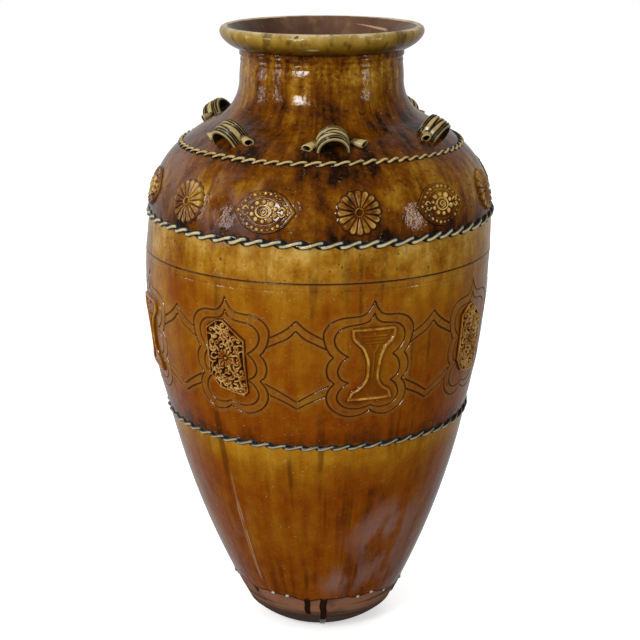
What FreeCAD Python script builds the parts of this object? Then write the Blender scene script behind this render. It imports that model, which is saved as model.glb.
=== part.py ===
import FreeCAD, Part
import math
import os

Vec = FreeCAD.Vector
ORIGIN = Vec(0, 0, 0)
AXIS = Vec(0, 0, 1)
FULL_TURN = 360.0

# Thrown sections: outside radius at each seam (mm)
FOOT_R = 70.0
HEEL_R = 93.5
LOWER_SEAM_R = 188.3
MIDDLE_SEAM_R = 210.5
TOP_SEAM_R = 170.5
ROOT_R = 122.8
NECK_R = 99.6
NECK_TOP_R = 98.2

# Thrown sections: how far each one rises above the one below it
HEEL_RISE = 22.0
LOWER_RISE = 268.0
BELLY_RISE = 248.5
SHOULDER_RISE = 83.5
ROOT_RISE = 30.5
FILLET_RISE = 47.5
NECK_RISE = 25.0

# Thrown sections: how far each outside face bows out of a straight line
HEEL_BOW = 1.5
LOWER_BOW = 9.6
BELLY_BOW = 11.0
SHOULDER_BOW = 10.6
ROOT_BOW = 2.0
FILLET_HOLLOW = 6.9

# Walls and seams
WALL = 12.0
FLOOR = 16.0
SEAM_LAP = 5.0
HEEL_LAP = 3.0

# Band under the lip, and the rolled lip
BAND_RISE = 8.0
BAND_OUT = 1.2
LIP_R = 123.0
LIP_SIDE_RISE = 20.0
LIP_SIDE_BOW = 3.6
LIP_CREST_RISE = 7.0
LIP_CREST_IN = 4.5
LIP_MOUTH_IN = 12.5
LIP_MOUTH_DROP = 3.0
FLARE_BOW = 5.0
THROAT_DROP = 11.0

# Twisted ropes: each is two round strands, half sunk in the groove of a seam
TOP_STRAND_R = 2.1
MIDDLE_STRAND_R = 2.6
LOWER_STRAND_R = 2.3
STRAND_GAP = 0.24
ROPE_SEAT_GAP = 0.15
ROPE_JOIN_GAP = 0.6
TOP_ROPE_TURNS = 35
MIDDLE_ROPE_TURNS = 31
LOWER_ROPE_TURNS = 30
STEPS_PER_TURN = 3
TOP_JOIN_DEG = 170.0
MIDDLE_JOIN_DEG = -26.0
LOWER_JOIN_DEG = 200.0

# Lugs: arched straps on the root of the neck, with rolled tubes at their feet
LUG_SPAN = 29.0
LUG_ARCH = 14.5
LUG_THICK = 4.2
LUG_WIDTH = 26.0
LUG_RIDGE_OUT = 1.1
LUG_RIDGE_WIDTH = 3.2
LUG_RIDGE_SHARES = (-0.43, -0.22, 0.0, 0.22, 0.43)
LUG_SINK = 4.0
LUG_UP = 2.0
LUG_DEG = (5.0, 64.0, 135.0, 187.0, 241.0, 314.0)
ROLL_LENGTH = 18.0
ROLL_START_R = 3.2
ROLL_MOUTH_R = 5.2
ROLL_HOLE_R = 3.4
ROLL_HOLE_END_R = 2.2
ROLL_HOLE_DEPTH = 12.0
ROLL_LIFT = 3.4

# Sprigs: shared sizes, and how deep a drop or bead sits in its plate, of its own radius
SPRIG_SINK = 3.0
SPRIG_REACH = 14.0
DROP_SINK_SHARE = 0.3

# Rosettes on the shoulder
ROSETTE_R = 27.0
ROSETTE_PLATE = 1.2
ROSETTE_PETALS = 16
ROSETTE_PETAL_R = 4.0
ROSETTE_PETAL_ROOT_R = 1.2
ROSETTE_PETAL_OUT_SHARE = 0.82
ROSETTE_PETAL_IN_SHARE = 0.27
ROSETTE_BOSS_R = 4.6
ROSETTE_DEG = 12.0
SHOULDER_SPRIG_COUNT = 6
SHOULDER_SPRIG_UP = -12.6

# Beaded lozenges on the shoulder
LOZENGE_W = 74.0
LOZENGE_H = 50.0
LOZENGE_PLATE = 1.3
LOZENGE_BEAD_R = 2.3
LOZENGE_BEADS_PER_SIDE = 6
LOZENGE_BEAD_IN_SHARE = 0.85
LOZENGE_RING_R = 12.5
LOZENGE_RING_BEADS = 10
LOZENGE_RING_BEAD_R = 2.4
LOZENGE_PETALS = 6
LOZENGE_PETAL_R = 2.2
LOZENGE_PETAL_ROOT_R = 1.0
LOZENGE_PETAL_OUT_SHARE = 0.56
LOZENGE_PETAL_IN_SHARE = 0.2
LOZENGE_BOSS_R = 2.4
LOZENGE_DEG = 42.0

# Tall floral plaques on the belly
PLAQUE_W = 56.0
PLAQUE_H = 96.0
PLAQUE_CUT_W = 17.0
PLAQUE_CUT_H = 21.0
PLAQUE_PLATE = 1.6
PLAQUE_RIM_W = 3.6
PLAQUE_RIM_OUT = 3.0
PLAQUE_PETALS = 8
PLAQUE_PETAL_R = 3.6
PLAQUE_PETAL_ROOT_R = 1.6
PLAQUE_FLOWER_R = 15.5
PLAQUE_FLOWER_IN_SHARE = 0.42
PLAQUE_BOSS_R = 4.4
PLAQUE_LEAF_R = 3.0
PLAQUE_LEAF_TIP_R = 1.4
PLAQUE_LEAF_SHARES = ((0.10, 0.17, 0.30, 0.20), (0.06, 0.21, 0.17, 0.32), (0.0, 0.20, 0.0, 0.385))
PLAQUE_DEG = -29.6
BELLY_SPRIG_COUNT = 4
BELLY_SPRIG_UP = -17.4

# Hourglass stands on the belly
STAND_H = 97.0
STAND_TOP_W = 55.0
STAND_BASE_W = 53.0
STAND_WAIST_W = 20.0
STAND_TOP_BAND = 9.0
STAND_BASE_BAND = 5.0
STAND_PLATE = 1.8
STAND_BAR_R = 2.0
STAND_BAR_SHARES = ((0.4, 0.42), (0.3, 0.34), (0.22, 0.27))
STAND_FLUTE_R = 2.2
STAND_FLUTE_TIP_R = 1.3
STAND_FLUTE_SHARES = ((0.0, 0.0, 0.2), (0.06, 0.15, 0.2), (0.0, 0.0, -0.42), (0.07, 0.29, -0.43))
STAND_FLUTE_ROOT_SHARE = 0.045
STAND_DEG = 18.0


def outward(climb):
    """Side of a direction up the profile that faces away from the jar's axis."""
    return Vec(climb.z, 0, -climb.x)


def unit(vector):
    return vector / vector.Length


class Bow:
    """Round outside face of one thrown section, between two points of the profile."""

    def __init__(self, low, high, bow):
        chord = high - low
        self.low, self.high = low, high
        self.climb = unit(chord)
        self.out = outward(self.climb)
        half = chord.Length / 2
        self.radius = (half * half + bow * bow) / (2 * bow)
        self.centre = (low + high) / 2 + self.out * (bow - self.radius)
        self.half_angle = math.asin(half / self.radius)
        self.half_length = self.radius * self.half_angle

    def normal(self, along):
        angle = along / self.radius
        return self.out * math.cos(angle) + self.climb * math.sin(angle)

    def tangent(self, along):
        angle = along / self.radius
        return self.climb * math.cos(angle) - self.out * math.sin(angle)

    def point(self, along, out=0):
        """Point of the profile, by its way up from the middle and its height above the face."""
        return self.centre + self.normal(along) * (self.radius + out)

    def arc(self, start, end, out=0):
        middle = (start + end) / 2
        return Part.Arc(self.point(start, out), self.point(middle, out), self.point(end, out)).toShape()


class Seam:
    """Where two thrown sections meet: outside point, directions and the inner end of the joint."""

    def __init__(self, below, above, lap, groove_r=0):
        self.point = below.high
        self.climb = unit(below.tangent(below.half_length) + above.tangent(-above.half_length))
        self.out = outward(self.climb)
        self.inner = self.point - self.out * WALL + self.climb * lap
        self.groove_r = groove_r
        self.root = self.point - self.out * groove_r
        self.below, self.above = below, above

    def groove_below(self):
        """Lower half of the rope's groove, up to its root."""
        edge = self.below.point(self.below.half_length - self.groove_r)
        return self.quarter(edge, -1)

    def groove_above(self):
        """Upper half of the rope's groove, down to its root."""
        edge = self.above.point(self.groove_r - self.above.half_length)
        return self.quarter(edge, 1)

    def quarter(self, edge, side):
        diagonal = unit(self.climb * side - self.out)
        return Part.Arc(edge, self.point + diagonal * self.groove_r, self.root).toShape()


def line(a, b):
    return Part.makeLine(a, b)


def round_line(a, b, bow):
    """Arc from a to b that bows to the outward side of the way from a to b."""
    return Part.Arc(a, (a + b) / 2 + outward(unit(b - a)) * bow, b).toShape()


def spun(edges):
    """Solid of revolution from the edges of a closed half profile."""
    wire = Part.Wire(Part.__sortEdges__(edges))
    return Part.Face(wire).revolve(ORIGIN, AXIS, FULL_TURN)


def section(low, high, bow):
    """Thrown section between two seams."""
    edges = [bow.arc(low.groove_r - bow.half_length, bow.half_length - high.groove_r)]
    edges += [line(low.root, low.inner), line(high.root, high.inner)]
    edges.append(Part.Arc(low.inner, bow.point(0, -WALL), high.inner).toShape())
    if low.groove_r:
        edges.append(low.groove_above())
    if high.groove_r:
        edges.append(high.groove_below())
    return spun(edges)


def base(heel, seam):
    """Slab with a bevelled heel and a turned-up edge that carries the lower wall."""
    floor_edge = Vec(seam.inner.x, 0, FLOOR)
    edges = [line(ORIGIN, heel.low), heel.arc(-heel.half_length, heel.half_length)]
    edges += [line(seam.root, seam.inner), line(seam.inner, floor_edge)]
    edges += [line(floor_edge, AXIS * FLOOR), line(AXIS * FLOOR, ORIGIN)]
    return spun(edges)


def neck(seam, root, fillet):
    """Neck with its flared root, a plain throat and the band under the lip."""
    top = fillet.high.z + NECK_RISE
    throat_r = NECK_TOP_R - WALL
    band_r = NECK_TOP_R + BAND_OUT
    neck_top = Vec(NECK_TOP_R, 0, top)
    band = [Vec(band_r, 0, top + BAND_OUT), Vec(band_r, 0, top + BAND_RISE)]
    throat = [Vec(throat_r, 0, top + BAND_RISE - THROAT_DROP), Vec(throat_r, 0, fillet.high.z)]
    bend = Seam(root, fillet, 0).inner
    edges = [seam.groove_above(), root.arc(seam.groove_r - root.half_length, root.half_length)]
    edges += [fillet.arc(-fillet.half_length, fillet.half_length), line(fillet.high, neck_top)]
    edges += [line(neck_top, band[0]), line(band[0], band[1]), line(band[1], throat[0])]
    edges += [line(throat[0], throat[1])]
    edges.append(Part.Arc(throat[1], fillet.point(0, -WALL), bend).toShape())
    edges.append(Part.Arc(bend, root.point(0, -WALL), seam.inner).toShape())
    edges.append(line(seam.inner, seam.root))
    return spun(edges), band[1], throat[0]


def lip(seat, throat):
    """Rolled lip, whose root laps down inside the neck to the throat."""
    side = Vec(LIP_R, 0, seat.z + LIP_SIDE_RISE)
    crest = Vec(LIP_R - LIP_CREST_IN, 0, side.z + LIP_CREST_RISE)
    mouth = Vec(LIP_R - LIP_MOUTH_IN, 0, crest.z - LIP_MOUTH_DROP)
    edges = [round_line(seat, side, LIP_SIDE_BOW), Part.Arc(side, crest, mouth).toShape()]
    edges += [round_line(throat, mouth, -FLARE_BOW), line(throat, seat)]
    return spun(edges)


def turned(point, angle):
    """Point of the profile, turned from the front of the jar to an angle round its axis."""
    return Vec(point.x * math.sin(angle), -point.x * math.cos(angle), point.z)


def rope_r(strand_r):
    return 2 * strand_r + STRAND_GAP / 2


def strand_point(seam, wave, turns, phase, angle):
    """Place and direction of a strand's middle line at an angle round the jar."""
    twist = phase - turns * angle
    profile = seam.point + (seam.climb * math.cos(twist) + seam.out * math.sin(twist)) * wave
    drift = (seam.climb * math.sin(twist) - seam.out * math.cos(twist)) * (wave * turns)
    round_way = Vec(math.cos(angle), math.sin(angle), 0) * profile.x
    return turned(profile, angle), unit(turned(drift, angle) + round_way)


def arc_from(start, heading, end):
    """Arc that leaves start along heading and ends at end."""
    chord = end - start
    along = unit(chord)
    across = unit(heading - along * heading.dot(along))
    half_turn = heading.getAngle(along) / 2
    return Part.Arc(start, (start + end) / 2 + across * (chord.Length / 2 * math.tan(half_turn)), end)


def two_arcs(a, heading_a, b, heading_b):
    """Two arcs from a to b that keep both headings and meet without a corner."""
    way, turn = b - a, heading_a + heading_b
    bend = 2 * (1 - heading_a.dot(heading_b))
    reach = (math.sqrt(way.dot(turn) ** 2 + bend * way.dot(way)) - way.dot(turn)) / bend
    meet = (a + b + (heading_a - heading_b) * reach) / 2
    second = arc_from(b, heading_b * -1, meet)
    return [arc_from(a, heading_a, meet).toShape(), second.toShape()]


def strand(seam, strand_r, turns, phase, join_deg):
    """One clay strand of a rope, from its join once round the jar."""
    wave = strand_r + STRAND_GAP / 2
    start = math.radians(join_deg) + ROPE_JOIN_GAP / seam.point.x / 2
    sweep = 2 * math.pi - ROPE_JOIN_GAP / seam.point.x
    steps = turns * STEPS_PER_TURN
    stops = [strand_point(seam, wave, turns, phase, start + sweep * i / steps) for i in range(steps + 1)]
    edges = []
    for (a, heading_a), (b, heading_b) in zip(stops, stops[1:]):
        edges += two_arcs(a, heading_a, b, heading_b)
    path = Part.Wire(edges)
    ring = Part.Wire(Part.makeCircle(strand_r, stops[0][0], stops[0][1]))
    return path.makePipeShell([ring], True, False)


class Spot:
    """Place on the front of a wall where a lug or sprig is put on, with its directions."""

    def __init__(self, bow, along):
        self.bow, self.along = bow, along
        self.centre = turned(bow.point(along), 0)
        self.side = Vec(1, 0, 0)
        self.up = turned(bow.tangent(along), 0)
        self.out = turned(bow.normal(along), 0)

    def flat(self, across, up, out=0):
        """Point by its offsets in the straight directions of this spot."""
        return self.centre + self.side * across + self.up * up + self.out * out

    def on_wall(self, across, up, out=0):
        """Point by its offsets along the round wall and its height above it."""
        profile = self.bow.point(self.along + up, out)
        return turned(profile, across / profile.x)

    def skin(self, sink, height):
        """Layer of the wall's own curve, from a depth under its face to a height above it."""
        bow = self.bow
        low, high = -bow.half_length, bow.half_length
        edges = [bow.arc(low, high, -sink), bow.arc(low, high, height)]
        edges += [line(bow.point(end, -sink), bow.point(end, height)) for end in (low, high)]
        return spun(edges)

    def block(self, edges):
        """Straight block over the given outline, drawn at the lower end of the reach."""
        return Part.Face(Part.Wire(edges)).extrude(self.out * (2 * SPRIG_REACH))

    def plate(self, edges, height):
        """Plate with the given outline that follows the wall."""
        return self.block(edges).common(self.skin(SPRIG_SINK, height))

    def outline(self, corners):
        points = [self.flat(across, up, -SPRIG_REACH) for across, up in corners]
        return [line(a, b) for a, b in zip(points, points[1:] + points[:1])]

    def drop(self, start, start_r, end, end_r, plate):
        """Clay drop, thick at one end, half sunk in a plate from start to end."""
        a = self.on_wall(*start, plate - DROP_SINK_SHARE * start_r)
        b = self.on_wall(*end, plate - DROP_SINK_SHARE * end_r)
        return tapered(a, start_r, b, end_r)

    def bead(self, across, up, bead_r, plate):
        """Clay bead, half sunk in a plate."""
        return Part.makeSphere(bead_r, self.on_wall(across, up, plate - DROP_SINK_SHARE * bead_r), self.out)


def tapered(a, a_r, b, b_r):
    """Round-ended drop between two points with a radius at each."""
    way = b - a
    ahead = unit(way)
    across = unit(ahead.cross(AXIS if abs(ahead.z) < abs(ahead.x) + abs(ahead.y) else Vec(1, 0, 0)))
    lean = math.asin((b_r - a_r) / way.Length)
    edge_angle = math.pi / 2 + lean

    def rim(centre, radius, angle):
        return centre + (ahead * math.cos(angle) + across * math.sin(angle)) * radius

    tail, nose = rim(a, a_r, math.pi), rim(b, b_r, 0)
    low, high = rim(a, a_r, edge_angle), rim(b, b_r, edge_angle)
    edges = [Part.Arc(tail, rim(a, a_r, (math.pi + edge_angle) / 2), low).toShape(), line(low, high)]
    edges += [Part.Arc(high, rim(b, b_r, edge_angle / 2), nose).toShape(), line(nose, tail)]
    return Part.Face(Part.Wire(edges)).revolve(a, ahead, FULL_TURN)


def ring_angles(count, start=0):
    return [start + 2 * math.pi * i / count for i in range(count)]


def petals(spot, count, inner, inner_r, outer, outer_r, plate):
    """Drops set round a centre like the petals of a flower."""
    shapes = []
    for angle in ring_angles(count):
        side, up = math.sin(angle), math.cos(angle)
        start, end = (inner * side, inner * up), (outer * side, outer * up)
        shapes.append(spot.drop(start, inner_r, end, outer_r, plate))
    return shapes


def largest(shape):
    """Biggest solid of a cut, without the crumbs that a groove can leave."""
    return max(shape.Solids, key=lambda solid: solid.Volume)


def pressed(plate, relief, wall):
    """Sprig made of a plate and its relief in one solid, cut to sit on the wall."""
    joined = plate.fuse(relief)
    if len(joined.Solids) != len(plate.Solids):
        joined = plate.fuse([shape.toNurbs() for shape in relief])
    return largest(joined.cut(wall).removeSplitter())


def rosette(spot, wall):
    circle = Part.makeCircle(ROSETTE_R, spot.flat(0, 0, -SPRIG_REACH), spot.out)
    reach = ROSETTE_R * ROSETTE_PETAL_OUT_SHARE
    root = ROSETTE_R * ROSETTE_PETAL_IN_SHARE
    sizes = (root, ROSETTE_PETAL_ROOT_R, reach, ROSETTE_PETAL_R)
    relief = petals(spot, ROSETTE_PETALS, *sizes, ROSETTE_PLATE)
    relief.append(spot.bead(0, 0, ROSETTE_BOSS_R, ROSETTE_PLATE))
    return pressed(spot.plate([circle], ROSETTE_PLATE), relief, wall)


def lozenge(spot, wall):
    corners = [(LOZENGE_W / 2, 0), (0, LOZENGE_H / 2), (-LOZENGE_W / 2, 0), (0, -LOZENGE_H / 2)]
    relief = []
    for (x0, y0), (x1, y1) in zip(corners, corners[1:] + corners[:1]):
        for i in range(LOZENGE_BEADS_PER_SIDE):
            share = i / LOZENGE_BEADS_PER_SIDE
            across = (x0 + (x1 - x0) * share) * LOZENGE_BEAD_IN_SHARE
            up = (y0 + (y1 - y0) * share) * LOZENGE_BEAD_IN_SHARE
            relief.append(spot.bead(across, up, LOZENGE_BEAD_R, LOZENGE_PLATE))
    for angle in ring_angles(LOZENGE_RING_BEADS):
        across, up = LOZENGE_RING_R * math.sin(angle), LOZENGE_RING_R * math.cos(angle)
        relief.append(spot.bead(across, up, LOZENGE_RING_BEAD_R, LOZENGE_PLATE))
    reach = LOZENGE_RING_R * LOZENGE_PETAL_OUT_SHARE
    root = LOZENGE_RING_R * LOZENGE_PETAL_IN_SHARE
    sizes = (root, LOZENGE_PETAL_ROOT_R, reach, LOZENGE_PETAL_R)
    relief += petals(spot, LOZENGE_PETALS, *sizes, LOZENGE_PLATE)
    relief.append(spot.bead(0, 0, LOZENGE_BOSS_R, LOZENGE_PLATE))
    return pressed(spot.plate(spot.outline(corners), LOZENGE_PLATE), relief, wall)


def eight_corners(inset):
    """Corners of a plaque's outline, drawn in by an inset."""
    half_w, half_h = PLAQUE_W / 2 - inset, PLAQUE_H / 2 - inset
    flat_w, flat_h = PLAQUE_W / 2 - PLAQUE_CUT_W, PLAQUE_H / 2 - PLAQUE_CUT_H
    right = [(half_w, -flat_h), (half_w, flat_h), (flat_w, half_h)]
    left = [(-across, -up) for across, up in right]
    return right + [(-flat_w, half_h)] + left + [(flat_w, -half_h)]


def mirrored(across):
    """Sides of a sprig that a detail is on: both, or one where it lies on the middle line."""
    return (1, -1) if across else (1,)


def plaque(spot, wall):
    """Eight-sided plate with a raised rim, a flower and leaves above and below it."""
    opening = spot.block(spot.outline(eight_corners(PLAQUE_RIM_W)))
    whole = spot.block(spot.outline(eight_corners(0)))
    rim = whole.common(spot.skin(WALL / 2, PLAQUE_RIM_OUT)).cut(opening)
    floor = spot.plate(spot.outline(eight_corners(PLAQUE_RIM_W / 2)), PLAQUE_PLATE)
    root = PLAQUE_FLOWER_R * PLAQUE_FLOWER_IN_SHARE
    sizes = (root, PLAQUE_PETAL_ROOT_R, PLAQUE_FLOWER_R, PLAQUE_PETAL_R)
    relief = petals(spot, PLAQUE_PETALS, *sizes, PLAQUE_PLATE)
    relief += [rim, spot.bead(0, 0, PLAQUE_BOSS_R, PLAQUE_PLATE)]
    for x0, y0, x1, y1 in PLAQUE_LEAF_SHARES:
        for side in mirrored(x1):
            for end in (1, -1):
                start = (side * x0 * PLAQUE_W, end * y0 * PLAQUE_H)
                tip = (side * x1 * PLAQUE_W, end * y1 * PLAQUE_H)
                relief.append(spot.drop(start, PLAQUE_LEAF_TIP_R, tip, PLAQUE_LEAF_R, PLAQUE_PLATE))
    return pressed(floor, relief, wall)


def stand_outline(spot):
    """Hourglass with a straight band at its top and at its base."""
    top, base_up = STAND_H / 2, -STAND_H / 2
    neck_up, foot_up = top - STAND_TOP_BAND, base_up + STAND_BASE_BAND
    half_top, half_base, half_waist = STAND_TOP_W / 2, STAND_BASE_W / 2, STAND_WAIST_W / 2

    def at(across, up):
        return spot.flat(across, up, -SPRIG_REACH)

    right = Part.Arc(at(half_base, foot_up), at(half_waist, 0), at(half_top, neck_up)).toShape()
    left = Part.Arc(at(-half_top, neck_up), at(-half_waist, 0), at(-half_base, foot_up)).toShape()
    edges = [line(at(half_base, base_up), at(half_base, foot_up)), right]
    edges += [line(at(half_top, neck_up), at(half_top, top)), line(at(half_top, top), at(-half_top, top))]
    edges += [line(at(-half_top, top), at(-half_top, neck_up)), left]
    edges += [line(at(-half_base, foot_up), at(-half_base, base_up))]
    edges.append(line(at(-half_base, base_up), at(half_base, base_up)))
    return edges


def stand(spot, wall):
    relief = []
    for across, up in STAND_BAR_SHARES:
        end, height = across * STAND_TOP_W, up * STAND_H
        relief.append(spot.drop((-end, height), STAND_BAR_R, (end, height), STAND_BAR_R, STAND_PLATE))
    for root, across, up in STAND_FLUTE_SHARES:
        start_up = math.copysign(STAND_FLUTE_ROOT_SHARE, up) * STAND_H
        for side in mirrored(across):
            start, tip = (side * root * STAND_TOP_W, start_up), (side * across * STAND_TOP_W, up * STAND_H)
            relief.append(spot.drop(start, STAND_FLUTE_TIP_R, tip, STAND_FLUTE_R, STAND_PLATE))
    return pressed(spot.plate(stand_outline(spot), STAND_PLATE), relief, wall)


def arch(spot, inside, outside, middle, width):
    """Arched band between two offsets from the lug's opening, centred on a place across the strap."""
    low = middle - width / 2

    def at(across, out):
        return spot.flat(across, low, out)

    edges, feet = [], []
    for offset in (inside, outside):
        half, top = LUG_SPAN / 2 + offset, LUG_ARCH + offset
        edges.append(Part.Arc(at(-half, 0), at(0, top), at(half, 0)).toShape())
        for side in (-1, 1):
            edges.append(line(at(side * half, -LUG_SINK), at(side * half, 0)))
            feet.append(at(side * half, -LUG_SINK))
    edges += [line(feet[0], feet[2]), line(feet[1], feet[3])]
    wire = Part.Wire(Part.__sortEdges__(edges))
    return Part.Face(wire).extrude(spot.up * width)


def strap(spot, wall):
    """Lug strap with ridges along it, its feet cut to the wall."""
    body = arch(spot, 0, LUG_THICK, 0, LUG_WIDTH)
    ridges = []
    for share in LUG_RIDGE_SHARES:
        middle = share * LUG_WIDTH
        ridges.append(arch(spot, LUG_THICK / 2, LUG_THICK + LUG_RIDGE_OUT, middle, LUG_RIDGE_WIDTH))
    return largest(body.fuse(ridges).cut(wall).removeSplitter())


def roll(spot, side, wall, lug):
    """Small rolled tube, open at its outer end, that leaves the foot of a strap."""
    start = LUG_SPAN / 2 + LUG_THICK / 2
    a = spot.on_wall(side * start, 0, ROLL_LIFT)
    b = spot.on_wall(side * (start + ROLL_LENGTH), 0, ROLL_LIFT)
    ahead, across = unit(b - a), spot.out
    across = unit(across - ahead * across.dot(ahead))
    length = (b - a).Length
    outline = [(0, 0), (0, ROLL_START_R), (length, ROLL_MOUTH_R), (length, ROLL_HOLE_R)]
    outline += [(length - ROLL_HOLE_DEPTH, ROLL_HOLE_END_R), (length - ROLL_HOLE_DEPTH, 0), (0, 0)]
    face = Part.Face(Part.makePolygon([a + ahead * way + across * out for way, out in outline]))
    tube = face.revolve(a, ahead, FULL_TURN)
    return largest(tube.cut(wall).cut(lug))


def around(shape, degrees):
    copy = shape.copy()
    copy.rotate(ORIGIN, AXIS, degrees)
    return copy


heel_bow = Bow(Vec(FOOT_R, 0, 0), Vec(HEEL_R, 0, HEEL_RISE), HEEL_BOW)
lower_bow = Bow(heel_bow.high, Vec(LOWER_SEAM_R, 0, heel_bow.high.z + LOWER_RISE), LOWER_BOW)
belly_bow = Bow(lower_bow.high, Vec(MIDDLE_SEAM_R, 0, lower_bow.high.z + BELLY_RISE), BELLY_BOW)
shoulder_bow = Bow(belly_bow.high, Vec(TOP_SEAM_R, 0, belly_bow.high.z + SHOULDER_RISE), SHOULDER_BOW)
root_bow = Bow(shoulder_bow.high, Vec(ROOT_R, 0, shoulder_bow.high.z + ROOT_RISE), ROOT_BOW)
fillet_bow = Bow(root_bow.high, Vec(NECK_R, 0, root_bow.high.z + FILLET_RISE), -FILLET_HOLLOW)

heel_seam = Seam(heel_bow, lower_bow, HEEL_LAP)
lower_seam = Seam(lower_bow, belly_bow, SEAM_LAP, rope_r(LOWER_STRAND_R) + ROPE_SEAT_GAP)
middle_seam = Seam(belly_bow, shoulder_bow, SEAM_LAP, rope_r(MIDDLE_STRAND_R) + ROPE_SEAT_GAP)
top_seam = Seam(shoulder_bow, root_bow, SEAM_LAP, rope_r(TOP_STRAND_R) + ROPE_SEAT_GAP)

nodes = {}
nodes["base_disc"] = base(heel_bow, heel_seam)
nodes["lower_wall"] = section(heel_seam, lower_seam, lower_bow)
nodes["belly_wall"] = section(lower_seam, middle_seam, belly_bow)
nodes["shoulder_wall"] = section(middle_seam, top_seam, shoulder_bow)
nodes["neck_wall"], lip_seat, throat_top = neck(top_seam, root_bow, fillet_bow)
nodes["rim_lip"] = lip(lip_seat, throat_top)

ropes = [("top_rope", top_seam, TOP_STRAND_R, TOP_ROPE_TURNS, TOP_JOIN_DEG)]
ropes.append(("middle_rope", middle_seam, MIDDLE_STRAND_R, MIDDLE_ROPE_TURNS, MIDDLE_JOIN_DEG))
ropes.append(("lower_rope", lower_seam, LOWER_STRAND_R, LOWER_ROPE_TURNS, LOWER_JOIN_DEG))
for name, seam, strand_r, turns, join_deg in ropes:
    nodes[name + "_strand_a"] = strand(seam, strand_r, turns, 0, join_deg)
    nodes[name + "_strand_b"] = strand(seam, strand_r, turns, math.pi, join_deg)

lug_spot = Spot(root_bow, LUG_UP)
lug_strap = strap(lug_spot, nodes["neck_wall"])
left_roll = roll(lug_spot, -1, nodes["neck_wall"], lug_strap)
right_roll = roll(lug_spot, 1, nodes["neck_wall"], lug_strap)
for number, degrees in enumerate(LUG_DEG, 1):
    nodes["lug_%d_strap" % number] = around(lug_strap, degrees)
    nodes["lug_%d_left_roll" % number] = around(left_roll, degrees)
    nodes["lug_%d_right_roll" % number] = around(right_roll, degrees)

shoulder_spot = Spot(shoulder_bow, SHOULDER_SPRIG_UP)
belly_spot = Spot(belly_bow, BELLY_SPRIG_UP)
shoulder, belly = nodes["shoulder_wall"], nodes["belly_wall"]
sprigs = [("rosette", rosette(shoulder_spot, shoulder), SHOULDER_SPRIG_COUNT, ROSETTE_DEG)]
sprigs.append(("lozenge", lozenge(shoulder_spot, shoulder), SHOULDER_SPRIG_COUNT, LOZENGE_DEG))
sprigs.append(("plaque", plaque(belly_spot, belly), BELLY_SPRIG_COUNT, PLAQUE_DEG))
sprigs.append(("stand", stand(belly_spot, belly), BELLY_SPRIG_COUNT, STAND_DEG))
for name, shape, count, degrees in sprigs:
    for i in range(count):
        nodes["%s_%d" % (name, i + 1)] = around(shape, degrees + FULL_TURN / count * i)

os.makedirs("parts", exist_ok=True)
for name, shape in nodes.items():
    shape.exportStep("parts/%s.step" % name)
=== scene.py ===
import math

import bmesh
import bpy
import numpy as np
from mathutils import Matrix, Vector, geometry, kdtree


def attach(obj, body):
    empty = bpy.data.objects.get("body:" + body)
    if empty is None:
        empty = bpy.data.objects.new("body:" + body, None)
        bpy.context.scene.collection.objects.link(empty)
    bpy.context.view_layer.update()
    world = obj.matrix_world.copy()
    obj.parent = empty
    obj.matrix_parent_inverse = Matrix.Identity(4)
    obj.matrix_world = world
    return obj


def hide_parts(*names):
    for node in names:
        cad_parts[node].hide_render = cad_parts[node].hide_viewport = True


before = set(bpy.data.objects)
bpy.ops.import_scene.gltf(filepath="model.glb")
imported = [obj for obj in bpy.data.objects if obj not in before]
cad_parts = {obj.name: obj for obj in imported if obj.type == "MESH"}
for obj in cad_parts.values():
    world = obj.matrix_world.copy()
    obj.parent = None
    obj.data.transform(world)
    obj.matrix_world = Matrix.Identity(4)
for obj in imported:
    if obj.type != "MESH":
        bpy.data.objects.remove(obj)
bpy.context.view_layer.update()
shot = bpy.context.scene

MM = 0.001
TURN = 2 * math.pi
MERGE = 2e-6
SHARP = math.radians(60)

# Thrown sections: (radius, height) of the outside at each seam, in metres
FOOT = (0.0625, 0.0)
HEEL = (0.0935, 0.022)
LOWER_SEAM = (0.1883, 0.290)
MIDDLE_SEAM = (0.2105, 0.5385)
TOP_SEAM = (0.1705, 0.622)
ROOT = (0.1228, 0.6525)
NECK = (0.0996, 0.700)
NECK_TOP = (0.0982, 0.725)
BAND_LOW = (0.0994, 0.7262)
LIP_SEAT = (0.0994, 0.733)
THROAT_TOP = (0.0862, 0.722)
WALL = 0.012
FLOOR = 0.016
# How far a face may lie from the curve of the inside and still count as a part of it
INNER_SLACK = 0.001
# Faces round the jar: most walls, and those with fine marks
STEPS, FINE_STEPS = 288, 480

# The jar leans a little to one side and back again as it rises: shift to the right by height
LEAN_HEIGHT = (0.0, 0.15, 0.25, 0.33, 0.40, 0.47, 0.54, 0.64, 0.76)
LEAN = (0.0, -0.0015, -0.0025, -0.0045, -0.0046, -0.0035, 0.0005, 0.0015, 0.0024)

# Glaze at the foot: height of its edge, how far it falls to the right, and its scallops
EDGE_HEIGHT, EDGE_FALL, EDGE_SCALLOP = 0.0565, 0.0065, 0.0016
# Runs that reach below the edge: angle, lowest point and half width
RUNS = ((-8.5, 0.030, 0.0036), (2.5, -0.004, 0.0042), (-47.0, 0.051, 0.003), (68.0, 0.034, 0.0035),
        (121.0, 0.026, 0.004), (158.0, 0.041, 0.003), (204.0, 0.020, 0.0045), (263.0, 0.033, 0.0035))
RUN_TOP = EDGE_HEIGHT + 0.004
RUN_WOBBLE, RUN_WAVES = 0.0006, 260
# Angles of the beads on the edge, which are painted pale as a highlight, their size and how far above the
# edge they sit
BEADS = (25.5, 35.4, 48.0, 73.0, -31.0, -21.0, 104.0, 112.0, 171.0, 222.0, 231.0, 287.0)
BEAD_R, BEAD_UP = 0.0027, 0.0012
# The jar's radius where the runs and the beads are
RUN_ARC_R, BEAD_ARC_R = 0.100, 0.102
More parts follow.
